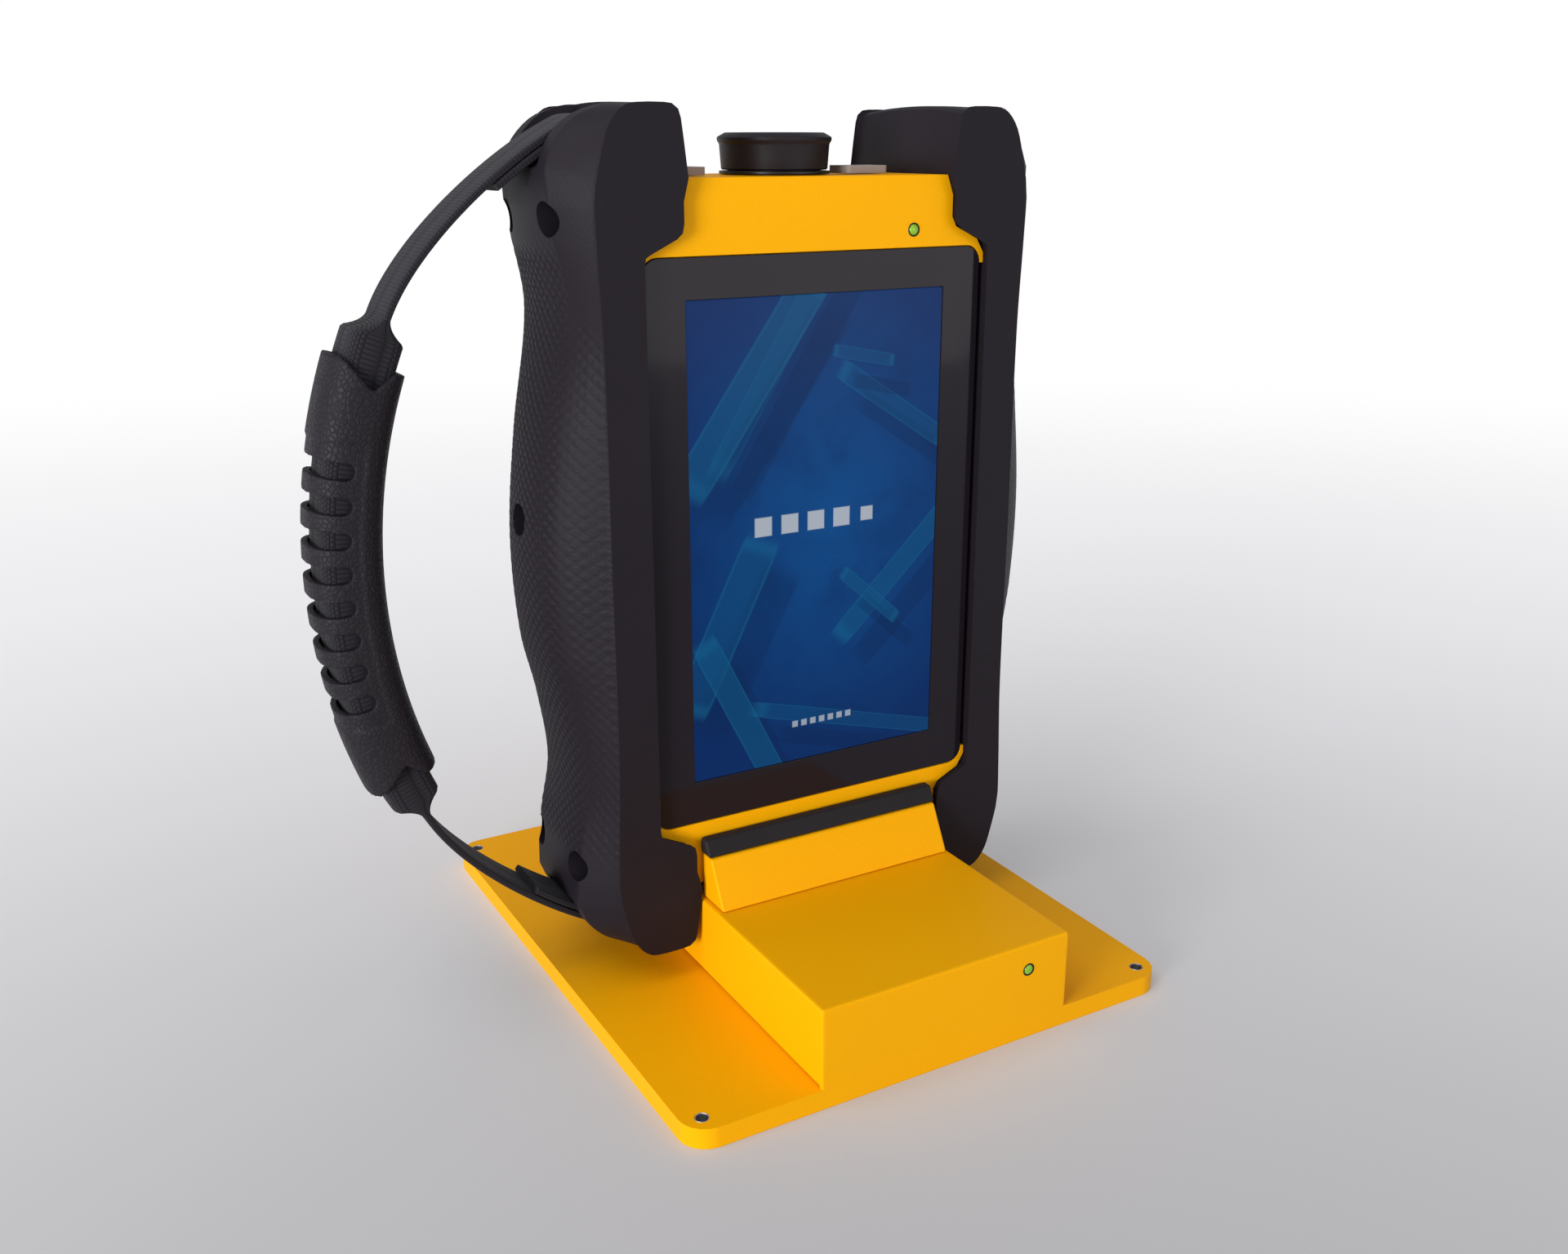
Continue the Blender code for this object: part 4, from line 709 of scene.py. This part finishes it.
def make_cap():
    radius = (CAP_HIGH.x - CAP_LOW.x) / 2
    y = (CAP_LOW.y + CAP_HIGH.y) / 2
    foot, top = CAP_LOW.z, CAP_HIGH.z
    bore = 14.9 * MM
    waist = radius - 1.1 * MM
    neck = waist + 0.4 * MM
    flare_foot = top - 3.7 * MM
    flare = [(neck + 0.7 * MM * step(0, 1, t / 6), flare_foot + 1.6 * MM * t / 6) for t in range(1, 7)]
    profile = [
        (bore, foot), (waist - 0.5 * MM, foot), (waist - 0.1 * MM, foot + 0.4 * MM), (waist, foot + 2 * MM),
        (neck, flare_foot), *flare, (radius, top - 1.5 * MM), (radius - 0.25 * MM, top - 1.2 * MM),
        (radius - 2.3 * MM, top - 0.08 * MM), (radius - 2.6 * MM, top), (radius - 4.2 * MM, top),
        (radius - 4.5 * MM, top - 0.35 * MM), (0, top - 0.35 * MM), (0, top - 1.6 * MM), (bore, top - 1.6 * MM),
    ]
    cap = lathe("connector_dust_cap", profile, (0, y, 0), steps=96)
    finish_piece(cap, PLASTIC, "cap", ("connector_cap",))
    softened("data_connector_shell", "connector_body", 0.2 * MM, ANODISED, "handheld")
    softened("data_connector_insert", "connector_core", 0.2 * MM, RUBBER, "handheld")
    pin_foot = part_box("data_connector_insert")[1].z - 1.2 * MM
    pin_profile = [(0, 0), (0.8 * MM, 0), (0.8 * MM, 4 * MM), (0.45 * MM, 4.6 * MM), (0, 4.7 * MM)]
    for index in range(7):
        turn = math.radians(360 * index / 6)
        reach = 0 if index == 6 else 6.4 * MM
        centre = (reach * math.cos(turn), y + reach * math.sin(turn), pin_foot)
        pin = lathe(f"connector_pin_{index + 1}", pin_profile, centre, steps=16)
        finish_piece(pin, GOLD, "handheld")


def make_port_covers():
    for label in ("left", "right"):
        node = f"{label}_port_cover"
        low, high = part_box(node)
        middle = ((low.x + high.x) / 2, (low.y + high.y) / 2)
        size = (high.x - low.x, high.y - low.y)
        lid = slab(f"{label}_port_lid", rounded_rectangle(*size, 1.2 * MM, middle), "XY", low.z, high.z)
        size = (size[0] - 3.6 * MM, size[1] - 5.4 * MM)
        hollow = rounded_rectangle(*size, 0.8 * MM, (middle[0], middle[1] + 0.6 * MM))
        carve(lid, slab("lid_cutter", hollow, "XY", high.z - 0.45 * MM, high.z + MM))
        modify(lid, "BEVEL", width=0.35 * MM, segments=3, limit_method="ANGLE", angle_limit=math.radians(40))
        finish_piece(lid, GREY_RUBBER, f"{label}_cover", (node,), flat=True)
    softened("power_button", "power_key", 0.25 * MM, RUBBER, "button")


# ---------------------------------------------------------------- grips

def inner_side():
    """The grip's side against the housing, from its foot at mid height up to the housing's top."""
    neck = GRIP_NECK + GRIP_GAP
    shoulder = 91.6 * MM + GRIP_GAP
    side = 61 * MM + GRIP_GAP
    return [
        (side, 0), (side, 45 * MM), (side, shoulder - 4.4 * MM), (side - 0.6 * MM, shoulder - 1.4 * MM),
        (side - 2.7 * MM, shoulder), (neck + 1.6 * MM, shoulder + 4 * MM),
        (neck + 0.4 * MM, shoulder + 5 * MM), (neck, shoulder + 7 * MM), (neck, CASE_CREASE),
        (46.8 * MM + GRIP_GAP, CASE_TOP),
    ]


def knurl(height, y):
    """How deep the grip's knurl is cut at a point of its flank: fine diamonds, with ribs on the two slopes."""
    slope = (abs(y) - RIDGE_Y) / (GRIP_HALF - RIDGE_Y)
    top = KNURL_TOP - (12 * MM + 16 * MM * slope if slope > 0 else 0)
    edge = step(top, top - KNURL_FADE, height) * step(KNURL_BOTTOM, KNURL_BOTTOM + KNURL_FADE, height)
    edge *= 1 - 0.4 * step(3.4 * MM, 0.6 * MM, abs(abs(y) - RIDGE_Y - 1.2 * MM))
    if not edge:
        return 0
    wave_a = abs((y / KNURL_WIDE + height / KNURL_HIGH) % 1 - 0.5) * 2
    wave_b = abs((y / KNURL_WIDE - height / KNURL_HIGH) % 1 - 0.5) * 2
    diamonds = max(step(0.5, 0.98, wave_a), step(0.5, 0.98, wave_b))
    if slope <= 0:
        return KNURL_DEPTH * edge * diamonds
    rib = step(0.45, 0.98, abs((height / KNURL_HIGH) % 1 - 0.5) * 2)
    return KNURL_DEPTH * edge * max(0.6 * diamonds, 0.25 * rib)


def flank_shares(depth):
    """How far the flank has risen towards the ridge at this depth, and how much of its bulge it has."""
    rise = min((GRIP_HALF - depth) / (GRIP_HALF - RIDGE_Y), 1)
    return rise * (1.12 - 0.12 * rise), max(1 - (depth / RIDGE_Y) ** 2, 0)


def grip_outline(y):
    """Points round a grip at a distance y from its middle plane, with the knurl cut into its flank."""
    blend, bulge = flank_shares(abs(y))
    near = [flank_shares(abs(y) + shift * MM) for shift in (-5, -3, -1, 1, 3, 5)]
    soft_blend, soft_bulge = (sum(shares) / len(near) for shares in zip(*near))
    at_ridge = step(8 * MM, 3 * MM, abs(abs(y) - RIDGE_Y))
    top = CASE_TOP + GRIP_RISE + GRIP_CROWN * (1 - (abs(y) / GRIP_HALF) ** 2.2)
    inner = inner_side()
    corner = []
    for index in range(CORNER_STEPS + 1):
        face = curve_point(FACE_CORNER, index / CORNER_STEPS)
        ridge = curve_point(RIDGE_CORNER, index / CORNER_STEPS)
        corner.append((face[0] + (ridge[0] - face[0]) * blend, top - face[1] - (ridge[1] - face[1]) * blend))
    head = [
        (GRIP_NECK, top - 9 * MM), (49.2 * MM, top - 3 * MM), (49.8 * MM, top - 1.1 * MM),
        (51 * MM, top - 0.2 * MM),
    ]
    outer = []
    heights = [FLANK_TOP * (1 - 2 * i / FLANK_STEPS) for i in range(FLANK_STEPS + 1)]
    for height in heights:
        soft = at_ridge * step(96 * MM, 66 * MM, abs(height))
        swell = (bulge + (soft_bulge - bulge) * soft) * curve_value(BULGE_KNOTS, height)
        face = curve_value(FACE_KNOTS, abs(height))
        reach = (curve_value(RIDGE_KNOTS, height) + swell - face) * (blend + (soft_blend - blend) * soft)
        depth = knurl(height, y) if abs(y) < GRIP_HALF - 1.2 * MM else 0
        outer.append((face + reach - depth, height))
    upper = inner[1:] + head + corner
    lower = [(x, -height) for x, height in reversed(upper)]
    return inner[:1] + upper + outer + lower


def inset_outline(points, distance):
    """Moves an outline inwards along its own normals."""
    loop = np.array(points)
    along = np.roll(loop, -1, 0) - np.roll(loop, 1, 0)
    along /= np.linalg.norm(along, axis=1)[:, None]
    return [tuple(p) for p in loop - distance * np.stack([-along[:, 1], along[:, 0]], 1)]


def saddle_outline():
    """The saddle's side outline: its floor follows the loop round the bar and then falls with the strap."""
    crest = GRIP_TOP + 8 * MM
    floor = BAR_RISE - BAR_RADIUS - 3.4 * MM
    fall = [(-4, 0), (2, 0), (5, 0.3), (8, 0.8), (13, 2.6), (18, 6), (22, 10)]
    steps = [(BAR_X + x * MM, floor - drop * MM) for x, drop in fall] + [(SADDLE_OUTER, floor - 17 * MM)]
    return [(SADDLE_INNER, crest), (SADDLE_INNER, floor)] + steps + [(SADDLE_OUTER, crest)]


def make_grip(label, side):
    edge = [
        (GRIP_HALF - inward * GRIP_EDGE, inset * GRIP_EDGE)
        for inward, inset in ((0, 1), (0.1, 0.55), (0.4, 0.18))
    ]
    flat = GRIP_HALF - GRIP_EDGE
    middle = [flat * (1 - 2 * i / GRIP_STATIONS) for i in range(GRIP_STATIONS + 1)]
    stations = edge + [(y, 0) for y in middle] + [(-y, inset) for y, inset in reversed(edge)]
    rings = []
    for y, inset in stations:
        ring = grip_outline(y)
        rings.append(inset_outline(ring, -inset) if inset else ring)
    count = len(rings[0])

    def place(u, v):
        station = round(v * (len(rings) - 1))
        x, height = rings[station][round(u * count) % count]
        return side * x, MID_Y + stations[station][0], MID_Z + height

    grip = sheet_of(f"{label}_grip_body", count, len(rings) - 1, place, caps=True)
    cutters, mouths = [], []
    for name, way in (("top", 1), ("bottom", -1)):
        outline = [(side * x, MID_Z + way * height) for x, height in saddle_outline()]
        cutters.append(slab(f"{name}_saddle", outline, "XZ", MID_Y - SADDLE_HALF, MID_Y + SADDLE_HALF))
        crest = GRIP_TOP - GRIP_CROWN
        foot, flare = crest - 1.6 * SADDLE_FLARE, SADDLE_HALF + SADDLE_FLARE
        rim = [(SADDLE_HALF - 0.1 * MM, foot)] + [
            (SADDLE_HALF + SADDLE_FLARE * t * t, foot + 2.2 * SADDLE_FLARE * t) for t in (0.25, 0.5, 0.75, 1)
        ] + [(flare + 2 * MM, crest + 9 * MM)]
        mouth = rim + [(-y, height) for y, height in reversed(rim)]
        outline = [(MID_Y + y, MID_Z + way * height) for y, height in mouth]
        inner, outer = sorted((side * SADDLE_INNER, side * SADDLE_OUTER))
        mouths.append(slab(f"{name}_mouth", outline, "YZ", inner, outer))
    for index in range(5):
        low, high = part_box(f"{label}_grip_screw_{index + 1}")
        head = max(abs(low.x), abs(high.x))
        floor = head - SCREW_HEAD
        profile = [(0, 0), (RECESS_RADIUS, 0), (RECESS_RADIUS, 30 * MM), (0, 30 * MM)]
        centre = (side * floor, (low.y + high.y) / 2, (low.z + high.z) / 2)
        cutters.append(lathe(f"recess_{index}", profile, centre, (side, 0, 0), 32))
    carve(grip, *cutters)
    carve(grip, *mouths)
    clean(grip, 2e-6)
    finish_piece(grip, GRIP, "handheld", (f"{label}_grip",), 32)


# ---------------------------------------------------------------- strap and handle

def handle_point(angle, out, along=0.0):
    """A point by the handle's curve: at an angle on it, out from it, and along it."""
    reach = HANDLE_RADIUS + out
    x = HANDLE_RADIUS - HANDLE_OUT - reach * math.cos(angle) + along * math.sin(angle)
    return x, reach * math.sin(angle) + along * math.cos(angle)


def webbing_route():
    """The upper strap's centreline: from the handle's neck, round its bar and back along its underside."""
    neck = Vector(handle_point(CORE_SPAN, 0, NECK_LENGTH - 1.5 * MM))
    neck_way = Vector((-math.sin(CORE_SPAN), -math.cos(CORE_SPAN)))
    way = Vector((-math.cos(STRAP_LEAVES), -math.sin(STRAP_LEAVES)))
    side = Vector((way.y, -way.x))
    around = BAR_RADIUS + 0.2 * MM + STRAP_THICK / 2
    start = Vector((-BAR_X, BAR_RISE)) + side * around
    handles = (start, start + way * STRAP_REACH, neck - neck_way * STRAP_REACH, neck)
    outer = []
    for index in range(41):
        t = index / 40
        weights = ((1 - t) ** 3, 3 * t * (1 - t) ** 2, 3 * t * t * (1 - t), t ** 3)
        outer.append(sum((w * p for w, p in zip(weights, handles)), Vector((0, 0))))
    tail = []
    for index in range(2, 17):
        run = (outer[index + 1] - outer[index - 1]).normalized()
        tail.append(outer[index] - Vector((run.y, -run.x)) * STRAP_THICK * 1.04)
    turns = [math.degrees(math.atan2(side.y, side.x)) - 14 * i for i in range(1, 15)]
    loop = [Vector(arc((-BAR_X, BAR_RISE), around, turn, turn, 1)[0]) for turn in turns]
    return list(reversed(outer)) + loop + tail[4:]


def spaced(points, count):
    """The same route with evenly spaced points."""
    lengths = np.cumsum([0] + [(b - a).length for a, b in zip(points, points[1:])])
    marks = np.linspace(0, lengths[-1], count)
    xs = np.interp(marks, lengths, [p.x for p in points])
    zs = np.interp(marks, lengths, [p.y for p in points])
    for _ in range(3):
        xs[1:-1] = (xs[:-2] + 2 * xs[1:-1] + xs[2:]) / 4
        zs[1:-1] = (zs[:-2] + 2 * zs[1:-1] + zs[2:]) / 4
    return list(zip(xs, zs)), lengths[-1]


def web_section(share):
    """A point of the webbing's flat section: across its width and through its thickness."""
    turn = 2 * math.pi * share
    c, s = math.cos(turn), math.sin(turn)
    across = math.copysign(abs(c) ** 0.26, c) * STRAP_WIDTH / 2
    through = math.copysign(abs(s) ** 0.26, s) * STRAP_THICK / 2
    return across, through


def make_straps():
    route, length = spaced(webbing_route(), ROUTE_STEPS + 1)
    neck = Vector(handle_point(CORE_SPAN, 0, NECK_LENGTH))
    for name, node, way in (("upper_webbing", "upper_strap", 1), ("lower_webbing", "lower_strap", -1)):
        def place(u, v):
            index = round(v * ROUTE_STEPS)
            before, after = route[max(index - 1, 0)], route[min(index + 1, ROUTE_STEPS)]
            run = Vector((after[0] - before[0], after[1] - before[1])).normalized()
            across, through = web_section(u)
            x, height = route[index]
            x, height = x - run.y * through, height + run.x * through
            return x, MID_Y + across, MID_Z + way * height

        strap = sheet_of(name, 40, ROUTE_STEPS, place, (2 * (STRAP_WIDTH + STRAP_THICK), length), True)
        finish_piece(strap, RIBBED, None, (node,), 60)
        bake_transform(strap)


def rounded_section(turn, half_out, half_deep, square):
    c, s = math.cos(turn), math.sin(turn)
    power = 2 / square
    return math.copysign(abs(c) ** power, c) * half_out, math.copysign(abs(s) ** power, s) * half_deep


def make_core():
    """The handle's woven core, which narrows in a hollow curve to the webbing at both ends."""
    def place(u, v):
        share = 2 * v - 1
        turn = 2 * math.pi * u
        end = (abs(share) - CORE_SHARE) / (1 - CORE_SHARE)
        if end <= 0:
            angle, along, width = -share / CORE_SHARE * CORE_SPAN, 0, 1
        else:
            angle, along = -math.copysign(CORE_SPAN, share), -math.copysign(end * NECK_LENGTH, share)
            width = 0.16 + 0.84 * (1 - min(end, 1)) ** 2.2
        out, deep = rounded_section(turn, CORE_HALF[0] * width, CORE_HALF[1], 5)
        x, height = handle_point(angle, out, along)
        return x, MID_Y + deep, MID_Z + height

    round_length = 4 * (CORE_HALF[0] + CORE_HALF[1])
    core = sheet_of("handle_weave", 72, 150, place, (round_length, 155 * MM), True)
    finish_piece(core, BASKET, "handle", ("handle_core",), 50)


def make_sleeve():
    """The rubber handle: a bent tube with relief slots in its outer side and a notch at each end."""
    wall = SLEEVE_WALL + SLEEVE_SINK
    walk = [(1 - 2 * i / SLEEVE_BENDS, 0) for i in range(SLEEVE_BENDS + 1)]
    walk += [(2 * i / SLEEVE_BENDS - 1, wall) for i in range(SLEEVE_BENDS + 1)] + walk[:1]

    def place(u, v):
        share, thin = walk[round(v * (len(walk) - 1))]
        out, deep = rounded_section(2 * math.pi * u, SLEEVE_HALF[0] - thin, SLEEVE_HALF[1] - thin, 2.6)
        x, height = handle_point(share * SLEEVE_SPAN, out)
        return x, MID_Y + deep, MID_Z + height

    sleeve = sheet_of("handle_grip_sleeve", 64, len(walk) - 1, place)
    cutters = []
    half = SLOT_HEIGHT / 2
    inner = SLEEVE_HALF[0] - SLOT_DEPTH + half
    for index in range(SLOT_COUNT):
        angle = (index - (SLOT_COUNT - 1) / 2) * SLOT_PITCH / HANDLE_RADIUS
        nose = arc((inner, 0), half, 90, 270, 9)
        corners = nose + [(SLEEVE_HALF[0] + 4 * MM, -half), (SLEEVE_HALF[0] + 4 * MM, half)]
        outline = [handle_point(angle, out, along) for out, along in corners]
        outline = [(x, MID_Z + height) for x, height in outline]
        cutters.append(slab(f"slot_{index}", outline, "XZ", MID_Y - 20 * MM, MID_Y + 20 * MM))
    for way in (1, -1):
        notch = [
            (-9.5 * MM, 6 * MM), (-8.6 * MM, 0), (1.5 * MM, -6.5 * MM), (7.6 * MM, 1.5 * MM), (8 * MM, 6 * MM),
        ]
        outline = [handle_point(way * SLEEVE_SPAN, -out, way * along) for out, along in notch]
        outline = [(x, MID_Z + height) for x, height in outline]
        cutters.append(slab(f"notch_{way}", outline, "XZ", MID_Y - 20 * MM, MID_Y - 6 * MM))
    carve(sleeve, *cutters)
    modify(sleeve, "REMESH", mode="VOXEL", voxel_size=0.6 * MM)
    modify(sleeve, "SMOOTH", factor=0.5, iterations=4)
    field_edge = (SLOT_COUNT / 2) * SLOT_PITCH + 3.5 * MM
    normals = [vertex.normal.copy() for vertex in sleeve.data.vertices]
    for vertex, normal in zip(sleeve.data.vertices, normals):
        x, height = vertex.co.x, vertex.co.z - MID_Z
        centre_x = HANDLE_RADIUS - HANDLE_OUT
        out = math.hypot(x - centre_x, height) - HANDLE_RADIUS
        along = math.atan2(height, centre_x - x) * HANDLE_RADIUS
        inside = step(field_edge + 0.7 * MM, field_edge - 0.7 * MM, abs(along) + 0.12 * abs(out))
        inside *= step(-3.4 * MM, -2.2 * MM, out)
        if abs(vertex.co.y - MID_Y) > SLEEVE_HALF[1] * 0.5 or out > 0:
            vertex.co -= normal * SLEEVE_SINK * inside
    finish_piece(sleeve, SLEEVE, "handle", ("handle_sleeve",), 60)


# ---------------------------------------------------------------- pieces kept from the frame

def dress_nodes():
    """Finishes for the CAD nodes that stay."""
    kept = {
        BLACK_STEEL: [f"{side}_grip_screw_{i}" for side in ("left", "right") for i in range(1, 6)],
        STEEL: ["display_bracket", "left_port", "right_port", "battery_door_screw_1", "battery_door_screw_2"]
        + [f"{side}_{end}_strap_bar" for side in ("left", "right") for end in ("top", "bottom")]
        + [f"dock_screw_{i}" for i in range(1, 5)],
        GOLD: ["dock_contacts", "unit_contact_plate"],
        BOARD: ["dock_circuit_board", "main_board"],
        BATTERY: ["battery_pack"],
        RUBBER: ["housing_gasket", "connector_ribbon"],
        PICTURE: ["display_panel"],
    }
    for finish, nodes in kept.items():
        for node in nodes:
            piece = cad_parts[node]
            piece.data.materials.clear()
            piece.data.materials.append(finish.material)


# ---------------------------------------------------------------- stage

def make_stage():
    bpy.ops.object.select_all(action="DESELECT")
    bpy.ops.mesh.primitive_plane_add(size=60, location=(0, 0, -0.05 * MM))
    floor = named(bpy.context.object, "studio_floor")
    finish = Finish("studio_floor", (0.7, 0.7, 0.7), 0.9, Specular_IOR_Level=0.0)
    x, y, _ = finish.parts_of(finish.place())
    # Painted shade: the floor's colour is darker near a point under the camera and lighter further off,
    # standing in for the falloff of light across the floor.
    away = ((x + 0.239) * (x + 0.239) + (y + 0.42) * (y + 0.42)).math("SQRT")
    near = away.between(0.15, 1.1)
    glow = away.between(0.05, 1.9)
    shaded_ground = finish.mix(near, (0.5, 0.49, 0.495), (0.97, 0.96, 0.99))
    # Painted light: further off, the floor turns from its colour into a white glow.
    finish.feed("Base Color", finish.mix(glow, shaded_ground, (0, 0, 0)))
    finish.feed("Emission Color", finish.mix(glow, (0, 0, 0), (1, 1, 1)))
    finish.shader.inputs["Emission Strength"].default_value = 1
    floor.data.materials.append(finish.material)


def area_light(name, place, size, power):
    light = bpy.data.lights.new(name, "AREA")
    light.shape = "DISK"
    light.size, light.energy = size, power
    lamp_object = bpy.data.objects.new(name, light)
    bpy.context.scene.collection.objects.link(lamp_object)
    lamp_object.location = place
    lamp_object.visible_camera = False
    aim = Vector((0, 0, 0.12)) - Vector(place)
    lamp_object.rotation_euler = aim.to_track_quat("-Z", "Y").to_euler()


def make_lights():
    area_light("key", (-1.4, -0.74, 0.24), size=0.6, power=21)
    area_light("fill", (0.6, -1.3, 0.3), size=0.9, power=2.5)
    area_light("top", (-0.75, -0.1, 1.35), size=1.1, power=6.5)
    world = bpy.data.worlds.new("studio")
    bpy.context.scene.world = world
    world.use_nodes = True
    tree = world.node_tree
    path = tree.nodes.new("ShaderNodeLightPath")
    seen = tree.nodes.new("ShaderNodeBackground")
    seen.inputs["Color"].default_value = (1, 1, 1, 1)
    seen.inputs["Strength"].default_value = 1.0
    unseen = tree.nodes["Background"]
    unseen.inputs["Color"].default_value = (0.93, 0.95, 1, 1)
    unseen.inputs["Strength"].default_value = 0.48
    blend = tree.nodes.new("ShaderNodeMixShader")
    tree.links.new(path.outputs["Is Camera Ray"], blend.inputs[0])
    tree.links.new(unseen.outputs[0], blend.inputs[1])
    tree.links.new(seen.outputs[0], blend.inputs[2])
    tree.links.new(blend.outputs[0], tree.nodes["World Output"].inputs[0])
    bpy.context.scene.view_settings.view_transform = "Standard"


def make_camera():
    camera = bpy.data.objects.new("camera", bpy.data.cameras.new("camera"))
    bpy.context.scene.collection.objects.link(camera)
    camera.data.lens = 34.08
    camera.data.sensor_width = 36
    camera.data.clip_start = 0.01
    right = Vector((0.868, -0.497, 0.0)).normalized()
    forward = Vector((0.472, 0.825, -0.311)).normalized()
    up = right.cross(forward).normalized()
    turn = Matrix((right, up, -forward)).transposed().to_4x4()
    camera.matrix_world = Matrix.Translation((-0.2389, -0.4195, 0.2703)) @ turn
    bpy.context.scene.camera = camera


make_camera()
make_lights()
make_stage()
make_dock()
lens("dock_lamp", "dock_status_led", "dock")
make_housing()
lens("handheld_lamp", "unit_status_led", "handheld")
make_display()
make_cap()
make_port_covers()
make_grip("left", -1)
make_grip("right", 1)
make_straps()
make_core()
make_sleeve()
dress_nodes()
